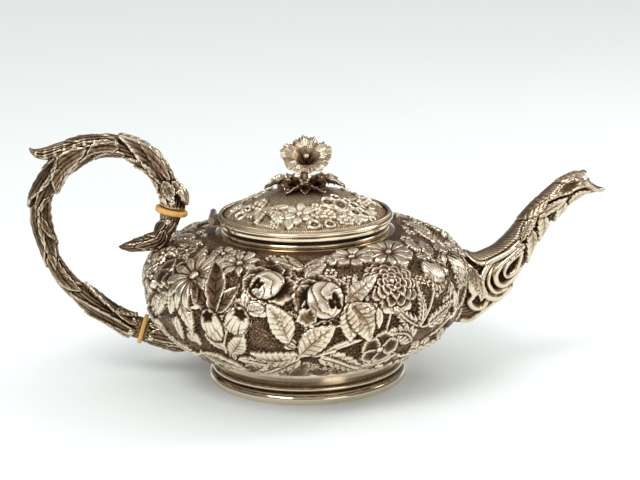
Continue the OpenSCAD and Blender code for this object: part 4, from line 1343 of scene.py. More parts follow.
    def build(self, finishes: Finishes) -> None:
        """Chases the skin between the body and the scoop, and closes it with the lip and the channel."""
        limb = self.limb()
        self.chase(Chaser(limb.relief))
        height, tone = self.skin(limb)
        plain_tube = limb.at(limb.s[:, None], 0.0)
        x, y, z = np.moveaxis(plain_tube, -1, 0)
        start = limb.s[np.argmax(np.hypot(x, y) > self.body.radius_at(z) - 0.5, axis=0)]
        scoop_x, scoop_z, scoop_r = self.scoop
        cut = np.hypot(x - scoop_x, z - scoop_z) < scoop_r
        cut[-1] = True
        end = soften(limb.s[np.argmax(cut, axis=0)], 1.2, 0, True)
        s = start + (end - start) * np.linspace(0, 1, self.rings)[:, None]
        rows = (s - limb.s[0]) / (limb.s[1] - limb.s[0])
        low = np.clip(rows.astype(int), 0, len(limb.s) - 2)
        col = np.arange(limb.columns)[None, :]
        height, tone = (grid[low, col] * (1 - rows + low) + grid[low + 1, col] * (rows - low)
                        for grid in (height, tone))
        plain = ease((end - s) / 3.0 - 0.4)
        beads = 0.55 * bell(end - s - 0.7, 0.8) + 0.9 * bell(s - start, 2.4)
        height = height * (0.25 + 0.75 * ease((self.fades - s) / 12)) * plain + beads
        outer, inner = limb.at(s, 0.15 + height), limb.at(s[::-6], -self.wall)
        ahead = [np.interp(end, limb.s, sign * limb.side[:, k]) for k, sign in ((1, 1), (0, -1))]
        forward = np.stack([ahead[0], 0 * end, ahead[1]], -1)
        t = np.linspace(0, np.pi, 9)[1:-1, None, None]
        middle, half = (outer[-1] + inner[0]) / 2, (outer[-1] - inner[0]) / 2
        lip = middle + half * np.cos(t) + forward * 0.75 * np.sin(t)
        # Painted shade: the channel inside is dark.
        dark = np.concatenate([tone * (0.35 + 0.65 * plain), np.full(lip.shape[:2], 0.05),
                               np.full(inner.shape[:2], 0.75)])
        obj = surface("spout_casting", np.concatenate([outer, lip, inner]), (True, True), patina_and_shade=dark)
        finishes.dress(obj, CAST, "pot", "spout")


@dataclass
class Insulator:
    """One insulator: an oval disc across the joint.

    Args:
        name: the piece's name.
        node: the CAD node that it stands for.
        centre: x and z of its middle.
        axis: unit direction (x, z) from the body's side to the grip's.
        half: half widths in the plane and along Y.
        thick: thickness along the axis.
    """

    name: str
    node: str
    centre: Point
    axis: Point
    half: Pair
    thick: float

    def along(self, d: float, side: float = 0.0) -> Point:
        """A place at a distance along the axis and an offset across it."""
        (x, z), (a, b) = self.centre, self.axis
        return x + d * a + side * b, z + d * b - side * a

    def build(self, finishes: Finishes) -> None:
        """The disc: a superellipse outline, with an edge that bulges as a squared-off ellipse."""
        t, a = np.linspace(-np.pi / 2, np.pi / 2, 33)[:, None], all_round(96)
        reach = np.abs(np.cos(t)) ** 0.28
        wobble = 1 + 0.02 * np.cos(3 * a + 1) + 0.016 * np.cos(8 * a) + 0.016 * np.cos(13 * a + 2 * np.sin(a))
        x, y = (half * np.sign(part) * np.abs(part) ** 0.8 * reach * wobble
                for half, part in zip(self.half, (np.cos(a), np.sin(a))))
        w = self.thick / 2 * np.sign(np.sin(t)) * np.abs(np.sin(t)) ** 0.45 + 0 * a
        (cx, cz), (dx, dz) = self.centre, self.axis
        points = np.stack([cx + w * dx + x * dz, y, cz + w * dz - x * dx], -1)
        dark = 0.55 * np.abs(np.sin(t)) ** 3 + 0.12 * (1 + np.cos(2 * a + 0.5))
        obj = surface(self.name, points, patina_and_shade=np.clip(dark, 0, 1) - 0.25)
        finishes.dress(welded(obj), IVORY, "pot", self.node)


@dataclass
class Handle:
    """The leafy handle: grip, thumb leaf, two sockets, and the pins' domed heads.

    Args:
        body: the body that it is fixed to.
        upper: the insulator between grip and upper socket.
        lower: the insulator between grip and lower socket.
        sunk: how far a bare skin lies inside its tube, so that the leaves reach the CAD size.
        fibre: spacing of the fine ribs along the limbs.
        head_r: radius of the pins' heads.
        head_y: how far out of the middle plane the heads start.
    """

    body: ChasedBody
    upper: Insulator
    lower: Insulator
    sunk: float = 0.6
    fibre: float = 1.9
    head_r: float = 1.55
    head_y: float = 6.7

    def beside(self, *rows: Row) -> list[Row]:
        """Stations that are given by their distance outside the belly on the handle's side."""
        return [(-(self.body.belly_r + out), *row) for out, *row in rows]

    def grip_line(self) -> list[Row]:
        """The grip's stations, from the upper insulator over the arch to the lower one."""
        up, low = self.upper.along, self.lower.along
        arch = self.beside(
            (-14.9, 94, 5.8, 5.6), (-13.1, 98.4, 5.3, 5.4), (-9.8, 105, 5.4, 5.4), (-3.8, 112.1, 5.7, 5.6),
            (4.3, 117, 5.8, 5.8), (11.5, 119.2, 5.8, 6), (20, 119.2, 5.8, 6.2), (28, 117.2, 6.2, 6.2),
            (38, 111, 6.6, 6), (45.4, 102, 6, 5.6), (50.2, 93.5, 5.6, 5.4), (51.5, 85.3, 5.2, 5.2),
            (50.5, 77, 4.7, 5), (48.3, 69.3, 4.6, 4.8), (45.8, 61, 4.4, 4.8), (41.5, 53, 4.8, 5),
            (35.6, 46, 5, 5.2), (27.6, 39.3, 5.3, 5.4), (19, 33.4, 5.3, 5.4))
        return [(*up(1.5), 6.6, 6), (*up(7), 6.7, 6), *arch,
                (*low(8.8, 0.4), 5.3, 5.5), (*low(4.6), 6, 5.8), (*low(1.25), 6.2, 6)]

    def chase_grip(self, c: Chaser) -> None:
        """Long leaves that overlap along the grip, with tips that stand off it, and curls at both feet."""
        for *row, high, lift in (
                (40, 3, 62, 8.0, 8, 0.1, 1.2, 0.6), (45, -4, 84, -7.6, 9, -0.04, 1.3, 0.3),
                (44, 0, 61, 2.5, 7, -0.25, 1.3, 0.5), (56, 3, 76, 7.4, 7, 0.18, 1.2, 0.5),
                (60, -1, 90, 7.6, 10, -0.16, 1.4, 1.2), (74, -4, 101, -7.8, 9, 0.12, 1.2, 1.4),
                (76, 1, 105, -1.0, 8, 0.12, 1.2, 0.5), (92, 4, 122, 7.8, 8, -0.12, 1.2, 1.7),
                (98, -2, 131, -7.0, 9, 0.1, 1.2, 0.5), (104, 1, 133, 0.0, 7, 0.12, 1.3, 0.6),
                (128, 5, 150, 7.8, 6, -0.1, 1.2, 0.3), (124, 0, 150, 3.0, 8, -0.1, 1.2, 0.5),
                (184, 3, 148, 8.0, 8, -0.12, 1.3, 2.0), (183, -4, 157, -7.8, 7, 0.12, 1.3, 1.9),
                (184, -1, 146, -2.0, 9, 0.1, 1.2, 0.5), (14, -4, 38, -7.6, 8, 0.1, 1.2, 0.4),
                (12, 3, 34, 8.2, 8, 0.14, 1.3, 1.9), (20, 2, 40, 5.0, 6, 0.1, 1.3, 0.8),
                (12, 0, 46, -6.6, 10, 0.08, 1.5, 1.2)):
            c.leaves((row,), 6, 0.14, 0.8 * high, Blade(1.2 * lift, 0.6, 0.1, 0.5))
        c.leaves((
            (15, 4, 3.6, 8.6, 5.5, 0.24), (14, -4, 3.4, -8.2, 5.5, -0.24), (16, 0.4, 4.4, 0.6, 6, 0.1),
            (20, 6, 10, 9.0, 5, 0.2), (170, 4.5, 182.6, 8.2, 5, 0.2), (169, -4.5, 182, -8.2, 5, -0.2)),
            5, 0.12, 1.5, Blade(0.9, 0.3, 0.12, 0.3))

    def fibres(self, limb: Limb, seed: int, deep: float = 0.15) -> Array:
        """Fine ribs that run along a limb and waver: a cosine round it, shifted by slow waves."""
        r = limb.relief
        waver = 1.6 * ripple(r.u, r.v, seed, 22.0)
        return deep * np.cos(FULL_TURN * r.v / self.fibre + waver) * (0.7 + 0.3 * r.ground)

    def tube(self, name: str, limb: Limb, height: Array, finishes: Finishes, *nodes: str) -> None:
        """Makes a limb's closed skin; what would lie inside the body is laid on the body's wall instead."""
        skin = limb.at(limb.s[:, None], height - self.sunk)
        shrink = np.array([0.0, 0.5, 0.85])[:, None, None]
        first, last = (end.mean(axis=0) + (end - end.mean(axis=0)) * shrink for end in (skin[0], skin[-1]))
        points = np.concatenate([first, skin, last[::-1]])
        r = np.maximum(np.hypot(points[..., 0], points[..., 1]), 1e-6)
        points[..., :2] *= np.maximum((self.body.radius_at(points[..., 2]) - 0.4) / r, 1)[..., None]
        dark = np.pad(limb.marks(height), ((3, 3), (0, 0)), mode="edge")
        finishes.dress(welded(surface(name, points, patina_and_shade=dark)), CAST, "pot", *nodes)

    def build_grip(self, finishes: Finishes) -> None:
        """The grip with its leaves."""
        limb = Limb(self.grip_line(), 120)
        self.chase_grip(Chaser(limb.relief))
        height = (limb.relief.height + self.fibres(limb, 4)) * limb.ends(2.5, 2.5)
        height += 0.5 * bell(limb.relief.u - 1.2, 0.9)
        self.tube("handle_casting", limb, height, finishes, "handle_grip")

    def build_thumb(self, finishes: Finishes) -> None:
        """The thumb leaf: a flattened ribbed limb with a notched edge and a curled tip."""
        limb = Limb(self.beside(
            (2, 115.5, 1.6, 3.0), (8, 119.0, 2.8, 4.4), (14, 121.2, 3.2, 5.0), (26, 121.4, 3.6, 6.0),
            (38, 118.4, 3.8, 5.8), (46, 116.0, 3.6, 4.8), (50.5, 116.0, 2.9, 3.8), (53.4, 117.3, 1.8, 2.4),
            (54.8, 118.9, 0.8, 1.0)), 96)
        relief = limb.relief
        Chaser(relief).leaves(
            ((4, 3, 30, 6.5, 7, 0.06), (6, -3, 36, -6.5, 8, 0.06), (4, 0, 52, 0.5, 7, 0.06)),
            5, 0.12, 0.7, Blade(0.5, 0.6, 0.1, 0.5))
        notch = 0.6 * np.maximum(np.cos(FULL_TURN * relief.u / 5.2), -0.2) * bell(relief.v, 2.6)
        height = (relief.height + self.fibres(limb, 8, 0.25)) * limb.ends(4, 9) + notch * limb.ends(8, 8)
        self.tube("thumb_leaf", limb, height, finishes)

    def build_sockets(self, finishes: Finishes) -> None:
        """Both sockets, which end in leaves laid on the body."""
        up, low, blade = self.upper.along, self.lower.along, Blade(0.4, 0.6, 0.1, 0.5)
        limb = Limb([(*up(-1.5), 6.1, 5.8), (*up(-6), 5.3, 5.2), (*up(-10.5, -1.6), 4.9, 5.0), *self.beside(
            (-8, 71.9, 4.7, 5), (-3, 70.2, 4.6, 5), (2, 69, 4.0, 4.4), (7, 68.1, 2.9, 3.2),
            (11, 67.8, 1.9, 2.0), (13, 67.9, 0.7, 0.8))], 112)
        Chaser(limb.relief).leaves((
            (3, 4, 24, 7.5, 7, 0.05), (3, -3, 22, -8, 7, 0.05), (14, 0, 42, 1, 7, 0.05),
            (22, -3, 36, -5, 5, 0.05), (8, 0.5, 27, 0, 7, 0.05)), 5, 0.12, 0.55, blade)
        height = (limb.relief.height + self.fibres(limb, 6)) * limb.ends(2, 6)
        self.tube("upper_socket_casting", limb, height, finishes, "upper_socket")
        limb = Limb([(*low(-1.25), 6.8, 6.1), (*low(-5), 7.2, 6.6), *self.beside(
            (-8, 22.4, 7.8, 7.4), (-15, 20.8, 8, 8), (-23, 20.4, 7, 7))], 128)
        Chaser(limb.relief).leaves((
            (1, 5, 20, 9, 7, 0.05), (1, -4, 20, -9, 7, 0.05), (2, 0, 26, 1, 8, 0.05),
            (12, 5, 26, 10, 7, 0.05), (12, -5, 26, -10, 7, 0.05)), 5, 0.12, 0.7, blade)
        height = (limb.relief.height + self.fibres(limb, 7)) * ease(limb.relief.u / 2)
        self.tube("lower_socket_casting", limb, height, finishes, "lower_socket")

    def build_heads(self, finishes: Finishes) -> None:
        """A domed head over each end of the four pins, turned as part of a ball."""
        t, a = np.linspace(0, np.pi / 2, 9)[:, None], all_round(24)
        r = np.concatenate([self.head_r * np.cos(t), 0 * t[:1]])
        y = np.concatenate([0.9 * np.sin(t), 0 * t[:1]]) + self.head_y
        places = [self.upper.along(d) for d in (5.4, -4.6)] + [self.lower.along(d, -1.6) for d in (5.2, -5.2)]
        heads = []
        for x, z in places:
            for flank in (-1, 1):
                ball = np.broadcast_arrays(x + r * np.cos(a), flank * y, z + r * np.sin(a))
                heads.append(surface("head", np.stack(ball, -1), (True, True), patina_and_shade=0.1))
        finishes.dress(joined("pin_heads", heads), POLISHED, "pot")

    def build(self, finishes: Finishes) -> None:
        """Builds every piece of the handle."""
        for make in (self.build_grip, self.build_thumb, self.build_sockets, self.build_heads,
                     self.upper.build, self.lower.build):
            make(finishes)


# ---------------- mouldings and lid

@dataclass
class Mouldings:
    """The turned foot and neck collar.

    Args:
        body: the body between them.
        foot_r: radius of the foot at its bottom.
        foot_in_r: radius inside the foot.
        neck_r: radius of the opening in the neck.
        band_r: radius of the collar's top band.
        collar_z: height of the collar's lower edge.
        collar_h: height of the collar.
        segments: steps round.
    """

    body: ChasedBody
    foot_r: float = 50.0
    foot_in_r: float = 43.8
    neck_r: float = 39.2
    band_r: float = 42.9
    collar_z: float = 74.92
    collar_h: float = 6.33
    segments: int = 384

    def build(self, finishes: Finishes) -> None:
        """Turns both mouldings from the CAD outlines, with rounded corners."""
        inner, outer, top = self.foot_in_r, self.body.foot_r, self.body.foot_z
        steps = [(self.foot_r - d, z) for d, z in (
            (3.6, 0), (0.8, 0), (0, 0.9), (0, 3), (0.7, 4.2), (2.3, 5.2), (2.6, 5.9), (1.5, 6.8), (1.4, 7.5),
            (1.8, 8.2), (2.9, 8.8))]
        foot = turned("foot_moulding", [
            *steps, (outer + 0.5, 10.5), (outer, 12.5), (outer, top + 0.6), (inner, top), (inner, 7.5),
            (inner + 1, 3.2)], self.segments, 0.2, 0.8)
        finishes.dress(foot, POLISHED, "pot", "foot_ring")
        z, h, band, wide = self.collar_z, self.collar_h, self.band_r, self.body.collar_r
        steps = [(band - d, z + k * h) for d, k in (
            (1.3, 0.163), (0.9, 0.273), (1.3, 0.384), (2.1, 0.431), (2.1, 0.558), (1.2, 0.652), (0, 0.716))]
        collar = turned("neck_moulding", [
            (self.neck_r, z + 0.6), (wide + 0.4, z + 0.1), (wide - 1.2, z + 0.75), (wide - 2.6, z + 1.15),
            *steps, (band, z + h - 0.3), (band - 0.3, z + h), (self.neck_r, z + h)], self.segments, 0.16, 1.0)
        finishes.dress(collar, POLISHED, "pot", "neck_collar")


# Raised blanks of half the lid, seen from above with the front towards -Y: centre and radius.
LID_FLOWERS = (
    (14, -16.5, 5.5), (26, -17, 5.5), (19.5, -29, 4.5), (9, -27.5, 5), (-2.6, -28, 6.5), (12.5, -35.3, 2.6),
    (4.5, -35.8, 2.8), (-21.5, -13, 4.2), (-32, -10, 4), (27.5, -6.5, 3.2))
# Stalk, tip and width of its leaves.
LID_LEAVES = (
    (-16, -20, -12, -33, 5), (-9, -31, -7.5, -38.5, 5), (-20, -19, -24, -28, 6), (31, -22, 26, -27, 4.5),
    (31, -9, 36, -13, 4.5), (-33, -5, -37, 1, 5))


@dataclass
class Lid:
    """The hinged lid: turned rim, rope wire and chased dome.

    Args:
        lid_z: height of the rim's underside.
        rim_r: radius of the rim.
        rim_h: its height.
        bezel_in_r: radius inside it.
        dome_r: radius of the dome's foot.
        dome_h: height of the dome.
        power: roundness of the dome's outline at its edge.
        taper: how pointed its top is.
        wire_r: radius of the rope wire.
        strands: turns of the wire's strands in the whole ring.
        hole_r: radius of the bare middle under the finial's leaves.
        proud: how far the sheet stands off the dome.
        raised: share of the chasing's height that is kept.
        lift: height of the raised blanks.
        rows: points from the middle to the edge.
        columns: points round.
    """

    lid_z: float = 81.55
    rim_r: float = 44.0
    rim_h: float = 2.0
    bezel_in_r: float = 37.4
    dome_r: float = 41.0
    dome_h: float = 13.4
    power: float = 2.1
    taper: float = 1.45
    wire_r: float = 0.85
    strands: int = 120
    hole_r: float = 3.4
    proud: float = 0.14
    raised: float = 0.75
    lift: float = 0.8
    rows: int = 110
    columns: int = 720

    def dome(self, r: Array) -> Array:
        """Height of the dome: its foot plus dome_h (1 - (r / dome_r)^power)^taper."""
        rel = 1 - np.minimum(r / self.dome_r, 1) ** self.power
        return self.lid_z + self.rim_h + self.dome_h * rel**self.taper

    def chase(self, c: Chaser) -> None:
        """A spray of blossoms and leaves across the front of the lid; the back repeats it turned about."""
        c.leaves((
            (-17, -21, -12, -32, 5, 0.1), (-13, -26, -5.5, -29, 5, 0), (-8, -30, -7.5, -39, 5.5, 0.1),
            (-9, -30, -17, -30, 5, 0.1), (-20, -17, -23, -28.5, 6, 0), (-21, -18, -28.5, -19.5, 5.5, 0.1),
            (-19, -17, -15.5, -25, 4.5, 0), (-19, -16, -21.5, -9.5, 4.5, 0.1), (-16, -20, -7, -22, 4, 0.1),
            (-33, -8, -37, -2.5, 5, 0.1), (-36, -4, -38, -11, 4.5, 0.1), (-31, -11, -26, -6, 4, 0),
            (29, -21, 28, -26.5, 4, 0), (24, -23, 29, -25, 4, 0.1), (30, -11, 35, -14, 4, 0.1),
            (22, -7, 25, -2.5, 4, 0.1), (31, -7, 34.5, -2.5, 4, 0), (4, -31, 1.5, -38, 5, 0.1),
            (33, -13, 30.5, -20, 3.5, 0.1)), 5, 0.2, 1.2, Blade(lift=0.4, ribs=0.2))
        for line in (((-31, -15), (-24, -18), (-17, -22), (-9, -28)),
                     ((0, -24), (8, -22), (15, -22), (24, -22), (31, -15)),
                     ((-28, -24), (-21, -30), (-13, -35))):
            c.stem(line, 0.9, 0.7)
        for x, y, *sizes in (
                (11, -18, 3.6), (17.3, -17.5, 4.2, 1.2), (23.5, -14, 3), (14.3, -12.8, 2.6), (24.3, -20, 3.2),
                (29, -18.5, 3), (28.5, -13.5, 2.6), (4.6, -35.4, 3.1), (12, -34, 2.8), (-31.3, -15.5, 2.8),
                (20.5, -11, 2.4), (-27, -11.5, 2.2), (33.5, -20, 2.2)):
            c.ring((x, y), *sizes)
        c.daisies((
            (6.2, -27.5, 3.6, 7), (11.8, -27, 3.4, 8), (19.5, -29, 4, 8), (5.5, -22.5, 2.6, 6),
            (-14.5, -33.5, 2.4, 6), (25, -27, 2.4, 6), (28, -6.5, 2.8, 6)), 10, 2.4, 0.25, 0.3, 1.3)
        c.daisies((
            (-2.6, -28, 7.2, 6, 20, 1.6, 0.42, 0.2, 1.5), (-21.5, -13, 4.2, 6, 0, 2.2, 0.3, 0.45, 1.3),
            (-33, -4, 3.6, 6, 0, 2.2, 0.3, 0.3, 1.3)))

    def swell(self, relief: Relief) -> Array:
        """Height of the raised blanks under the spray."""
        discs = (relief.disc(row[:2], row[2]) for row in LID_FLOWERS)
        blades = (relief.blade(row[:2], row[2:4], row[4]) for row in LID_LEAVES)
        return relief.swollen((*discs, *blades), self.lift, 1.3, 1.2)

    def rope(self, finishes: Finishes) -> None:
        """The rope wire: a ring whose section is two strands that turn round each other."""
        a, b = all_round(24 * self.strands).T, all_round(12)
        strand = np.abs(np.cos(b - self.strands * a))
        r = self.wire_r * (0.74 + 0.3 * strand)
        ring = self.dome_r + self.wire_r + 0.15 + r * np.cos(b)
        z = self.lid_z + self.rim_h + 0.72 * self.wire_r + r * np.sin(b)
        # Tarnish and painted shade in the grooves between the strands.
        dark = 0.8 * np.clip(1.15 - 1.1 * strand, 0.05, 1)
        finishes.dress(surface("rope_wire", spun(ring, z, a), (True, True), patina_and_shade=dark), POLISHED, "lid",
                       "lid_bead_wire")

    def rim(self, finishes: Finishes) -> None:
        """Turns the rim from the CAD outline, with rounded corners."""
        z, h, r, inner = self.lid_z, self.rim_h, self.rim_r, self.bezel_in_r
        rim = turned("lid_moulding", [
            (inner, z), (r - 0.6, z), (r, z + 0.6), (r, z + h - 0.6), (r - 0.6, z + h),
            (r - 1.2, z + h + 0.1), (inner, z + h)], 384, 0.16, 0.7)
        finishes.dress(rim, POLISHED, "lid", "lid_rim")

    def sheet(self, finishes: Finishes) -> None:
        """Chases one half of the dome's sheet and its turned repeat, and lifts it off the dome."""
        radius = np.linspace(self.hole_r, self.dome_r + 0.25, self.rows)[:, None]
        angle = all_round(self.columns)
        x, y = radius * np.cos(angle), radius * np.sin(angle)
        front = np.where(y < 0, 1.0, -1.0)
        relief = Relief(x * front, y * front, np.ones_like(x))
        self.chase(Chaser(relief))
        keep = ease((self.dome_r - 1.2 - radius) / 1.5) * ease((radius - 6) / 4)
        lift = self.proud + self.raised * relief.height * keep + self.swell(relief)
        line = np.hstack([radius, self.dome(radius)])
        points = lifted(line, -right_of(line), lift, angle)
        # Painted light: a low base darkness keeps the lid lighter than the body, as it is brightly lit.
        dark = patina_and_shade_of(relief.height * keep, relief.ground, relief.tone * keep, 0.35, 0.12, 0.7, 0.4)
        # Painted shade under the finial's leaves, and tarnish with painted shade in the crease beside the
        # wire.
        dark += 0.4 * (1 - ease((radius - 7) / 8)) + 0.5 * ease((radius - self.dome_r + 1.1) / 0.5)
        obj = surface("lid_sheet", points, inside=(0, 0, 60), patina_and_shade=np.clip(dark, 0, 1),
                      matting=relief.ground * keep)
        finishes.dress(obj, ROUGH_LIT, "lid")

    def build(self, finishes: Finishes) -> None:
        """Builds the rim, the rope and the dome's sheet."""
        for make in (self.rim, self.rope, self.sheet):
            make(finishes)


@dataclass
class Finial:
    """The flower on its stem, over a cluster of leaves.

    Args:
        base_z: height of the dome's top.
        stem_top_z: height of the stem's top in the CAD source.
        lift: how far the flower stands above that.
        shift: how far it is moved to the spout's side.
        lean: how far it leans towards the front, in degrees.
        radius: radius of its rim.
        depth: its height.
        lobes: lobes round it.
        frills: small waves round its rim.
        ribs: fine ribs round it.
        rows: points from the throat to the rim.
        columns: points round.
    """

    base_z: float = 96.95
    stem_top_z: float = 106.05
    lift: float = 0.9
    shift: float = 1.1
    lean: float = 33.0
    radius: float = 13.0
    depth: float = 9.6
    lobes: int = 5
    frills: int = 41
    ribs: int = 50
    rows: int = 90
    columns: int = 420

    def lean_over(self, points: Array) -> Array:
        """Turns points about X by the lean and moves them to the stem's top, a little up and to the right."""
        c, s = heading(self.lean)
        x, y, z = np.moveaxis(points, -1, 0)
        return np.stack([x + self.shift, y * c - z * s, self.stem_top_z + self.lift + y * s + z * c], -1)

    def flower(self, finishes: Finishes) -> None:
        """The open flower: a flared cup with five lobes.

        The radius swells as cosine of the lobes with smaller waves on top, the rim rises and falls with
        them, fine ribs run from the throat, and the back lies 0.75 mm behind the front.
        """
        share, a = np.linspace(0, 1, self.rows)[:, None], all_round(self.columns)
        lobe, frill = np.cos(self.lobes * (a - np.pi / 2)), np.cos(self.frills * a)
        gap = ((1 - lobe) / 2) ** 6
        rim = 0.96 + 0.035 * lobe - 0.06 * gap + 0.012 * np.cos(3 * self.lobes * a + 1) + 0.014 * frill
        r = 0.12 + self.radius * rim * share
        flare = np.interp(share, (0, 0.1, 0.2, 0.34, 0.55, 0.8, 1), (0.24, 0.27, 0.38, 0.63, 0.83, 0.93, 0.9))
        ruffle = 0.7 * share**3 * np.cos(3 * self.lobes * a + 0.6 * np.sin(2 * a))
        cup = self.depth * soften(flare, 2.0, 0, False) + ruffle + 0.3 * share**5 * frill - gap * share**2
        ribs = 0.13 * np.cos(self.ribs * a + 4 * share) * ease(share * 2.4) * (1 - 0.3 * share)
        back = cup - 0.75 + 0.5 * share**6
        back = np.where(share < 0.3, np.minimum(back, 26 * np.maximum(share - 0.14, 0) - 1.6), back)
        points = spun(np.concatenate([r, r[::-1]]), np.concatenate([cup + ribs, back[::-1]]), a)
        # Tarnish and painted shade: darker down the throat, in the rib grooves and between the lobes; the
        # back is evenly darker as painted shade.
        dark = np.clip(0.62 - 1.3 * (share - 0.12), 0, 1) + 0.12 - 0.9 * np.minimum(ribs, 0) + 0.35 * gap
        dark = np.concatenate([np.clip(dark, 0, 1), np.full_like(dark, 0.45)])
        obj = surface("flower", self.lean_over(points), patina_and_shade=dark)
        finishes.dress(welded(obj), CAST, "lid", "finial_flower")

    def pistil(self, finishes: Finishes) -> None:
        """The pistil: a turned pin with a rounded head."""
        shape = flow([(0.0, 2.3), (0.75, 2.4), (0.6, 5.8), (0.75, 6.6), (1.35, 7.3), (1.3, 8.0), (0.7, 8.6),
                      (0.0, 8.75)], 5)
        r, z = np.maximum(shape[:, :1], 0), shape[:, 1:]
        # Painted shade: the pin is darker low down, deep in the throat, and light at its head.
        dark = np.clip(0.9 - (z - 4) / 4, 0.05, 0.9)
        obj = surface("pistil", self.lean_over(spun(r, z, all_round(24))), patina_and_shade=dark)
        finishes.dress(welded(obj), CAST, "lid", "finial_pistil")

    def leaf(self, turn: float, reach: float, width: float, rise: float, droop: float, low: float) -> Piece:
        """One leaf of the cluster, a closed sheet 1 mm thick.

        Its outline has three lobes on each side; its height climbs by rise halfway and then follows droop
        times the square of the way to the tip, with its edges turned up.

        Args:
            turn: its direction in degrees.
            reach: distance of its tip from the stem.
            width: its full width.
            rise: height gained towards the middle.
            droop: height gained or lost at the tip.
            low: height of its foot above the dome's top.

        Returns:
            The leaf as a piece of its own.
        """
        root = 2.2
        t, x = np.linspace(0, 1, 44)[:, None], np.linspace(-1, 1, 31)[None, :]
        lobed = 1 - 0.22 * np.abs(np.sin(3 * np.pi * t)) * (t > 0.05)
        side = (width / 2 * np.sin(np.pi * np.clip(t, 0.02, 1) ** 0.85) ** 0.7 * lobed + 0.15) * x
        veins = np.cos(9 * np.pi * t - 3 * np.abs(x))
        r = root + (reach - root) * t - 0.8 * np.abs(x) * (1 - t)
        z = low + rise * np.sin(np.pi * t * 0.9) + droop * t**2 + 2.3 * x**4 * np.sin(np.pi * t)
        z += 0.22 * veins - 0.4 * bell(side, 0.35) * (1 - t)
        c, s = heading(turn)
        top = np.stack([c * r - s * side, s * r + c * side, self.base_z + z], -1)
        under = top.copy()
        under[..., 2] -= 1 - 0.5 * x**4
        ring = np.concatenate([top, under[:, ::-1]], axis=1)
        ends = [np.repeat(ring[k].mean(axis=0)[None, None], ring.shape[1], 1) for k in (0, -1)]
        # Painted light, with tarnish in the veins: darker along the midrib and towards the root, painted
        # highlight on the turned-up edges, painted shade on the underside.
        dark = 0.28 + 0.3 * bell(side, 0.4) + 0.2 * veins * (np.abs(x) < 0.9) + 0.3 * (1 - t) - 0.7 * x**4
        dark = np.concatenate([np.clip(dark, 0, 1), np.full_like(dark, 0.7)], axis=1)
        return surface("leaf", np.concatenate([ends[0], ring, ends[1]]),
                       patina_and_shade=np.pad(dark, ((1, 1), (0, 0)), mode="edge"))

    def build(self, finishes: Finishes) -> None:
        """Builds the flower, its leaves and the turned knop between them."""
        self.flower(finishes)
        self.pistil(finishes)
        leaves = [self.leaf(*sizes) for sizes in (
            (188, 20, 13, 3.2, -1, 0.7), (232, 15, 11, 1.2, -1.4, 0.6), (272, 12.5, 9, 0.5, -1, 0.4),
            (312, 15.5, 11, 1.2, -1.2, 0.6), (350, 20.5, 12, 3.2, -0.8, 0.8), (32, 18, 11, 2.2, -1.6, 0.6),
            (84, 15.5, 11, 2, -3, 0.5), (138, 18.5, 11, 2.4, -1.6, 0.6), (206, 13.5, 8, 4, 0.6, 0.8),
            (334, 13.5, 7.5, 4, 1.2, 0.8))]
        finishes.dress(joined("finial_leaf_cluster", leaves), CAST, "lid", "finial_leaves")
        knop = turned("finial_knop", [(r, self.base_z + z) for r, z in (
            (1.9, 0.3), (4.4, 0.3), (4.6, 1.0), (3.2, 1.5), (3.0, 1.9), (3.9, 2.5), (4.0, 3.2), (3.0, 3.9),
            (2.0, 4.4), (1.9, 4.4))], 96, 0.18, 0.6)
        finishes.dress(knop, POLISHED, "lid", "finial_collar")


# ---------------- studio

def face(obj: Piece, place: Vector, aim: Row) -> None:
    """Puts a lamp or camera at a place in metres, turned to an aim."""
    obj.location = place
    obj.rotation_euler = (Vector(aim) - place).to_track_quat("-Z", "Y").to_euler()
    bpy.context.scene.collection.objects.link(obj)


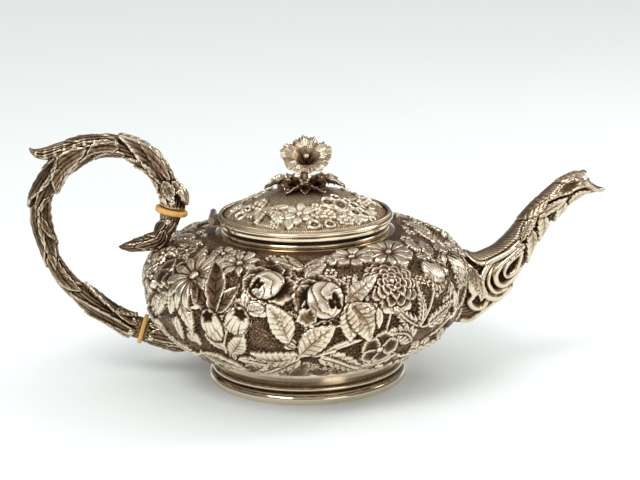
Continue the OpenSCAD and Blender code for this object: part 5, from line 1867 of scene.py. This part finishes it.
@dataclass
class Studio:
    """Floor, soft lamps, background and camera.

    Args:
        floor_colour: colour of the floor.
        floor_reach: how far the floor goes from the middle, in mm.
        target: what the camera aims at, in metres.
        distance: from the camera to its target, in metres.
        elevation: how far down the camera looks, in degrees.
        roll: how far it leans, in degrees.
        lens: its focal length in mm.
    """

    floor_colour: Colour = (0.80, 0.84, 0.83)
    floor_reach: float = 4000.0
    target: Triple = (0.0073, 0.0, 0.0697)
    distance: float = 0.85
    elevation: float = 14.1
    roll: float = 0.9
    lens: float = 95.6

    def floor(self) -> None:
        """A wide flat floor."""
        x, y = np.meshgrid([-self.floor_reach, self.floor_reach], [-self.floor_reach, self.floor_reach])
        obj = surface("floor", np.stack([x, y, 0 * x], -1), (False, False), (0, 0, -100))
        m, w, shader = new_material("floor_paper")
        w.feed(shader, {"Base Color": self.floor_colour, "Roughness": 0.9, "Specular IOR Level": 0.1})
        obj.data.materials.append(m)

    def lamp(self, name: str, place: Row, aim: Row, size: float, power: float) -> None:
        """A square soft lamp at a place in metres, turned to an aim."""
        data = bpy.data.lights.new(name, "AREA")
        data.size, data.energy = size, power
        face(bpy.data.objects.new(name, data), Vector(place), aim)

    def background(self) -> None:
        """A pale background for what is seen directly; what is mirrored sees it darker at mid height."""
        world = bpy.data.worlds.new("studio")
        bpy.context.scene.world = world
        world.use_nodes = True
        w = Wiring(world.node_tree)
        split = w.node("SeparateXYZ", Vector=w.node("TexCoord").outputs["Generated"])
        ramp = w.node("ValToRGB", Fac=w.add(w.times(split.outputs["Z"], 0.5), 0.5))
        first, last = ramp.color_ramp.elements
        first.position, first.color = 0.52, (0.86, 0.9, 0.9, 1)
        last.position, last.color = 0.97, (0.9, 0.92, 0.94, 1)
        for at, colour in ((0.58, (0.2, 0.2, 0.21, 1)), (0.76, (0.14, 0.13, 0.13, 1)),
                           (0.87, (0.5, 0.49, 0.48, 1))):
            ramp.color_ramp.elements.new(at).color = colour
        path = w.node("LightPath").outputs
        mirrored = w.add(path["Is Glossy Ray"], path["Is Transmission Ray"], True)
        lit = w.mix(mirrored, (0.92, 0.92, 0.92), ramp.outputs["Color"])
        w.fill(world.node_tree.nodes["Background"].inputs["Color"],
               w.mix(path["Is Camera Ray"], lit, (1.0, 1.0, 1.0)))

    def camera(self) -> None:
        """The camera: level turn, looking along +Y and down, with a slight roll."""
        c, s = heading(self.elevation)
        data = bpy.data.cameras.new("camera")
        data.lens, data.sensor_width = self.lens, 36.0
        obj = bpy.data.objects.new("camera", data)
        face(obj, Vector(self.target) - self.distance * Vector((0, c, -s)), self.target)
        obj.rotation_euler.rotate_axis("Z", -np.radians(self.roll))
        bpy.context.scene.camera = obj

    def build(self) -> None:
        """Sets up the whole studio."""
        bpy.context.scene.view_settings.view_transform = "Standard"
        self.floor()
        self.background()
        self.lamp("key", (-0.55, -0.75, 1.1), (0, 0, 0.06), 0.6, 8)
        self.lamp("rim", (0.9, 0.25, 0.8), (0.02, 0, 0.06), 0.45, 4)
        self.lamp("fill", (0.7, -1.1, 0.45), (0, 0, 0.06), 0.6, 2)
        self.camera()


def main() -> None:
    """Builds every sub-assembly in order, then the studio."""
    logging.basicConfig(level=logging.INFO, format="%(message)s")
    finishes = Finishes()
    finishes.repaint(POLISHED, "insulator_pins", "lid_bezel", "body_shell", "lid_dome")
    # The hinge and the finial's stem, washer and nut take painted shade.
    finishes.repaint(SHADE_PAINTED, "hinge_collar_leaf", "hinge_pin", "hinge_lid_leaf", "finial_washer", "finial_nut",
                     "finial_stem")
    body = ChasedBody()
    upper = Insulator("upper_ivory", "upper_insulator", (-66.5, 86.0), (0.238, 0.971), (8.0, 7.2), 3.0)
    lower = Insulator("lower_ivory", "lower_insulator", (-83.0, 24.9), (-0.951, 0.308), (7.5, 7.0), 2.5)
    for part in (body, Mouldings(body), Spout(body), Handle(body, upper, lower), Lid(), Finial()):
        part.build(finishes)
    Studio().build()


if __name__ == "__main__":
    main()
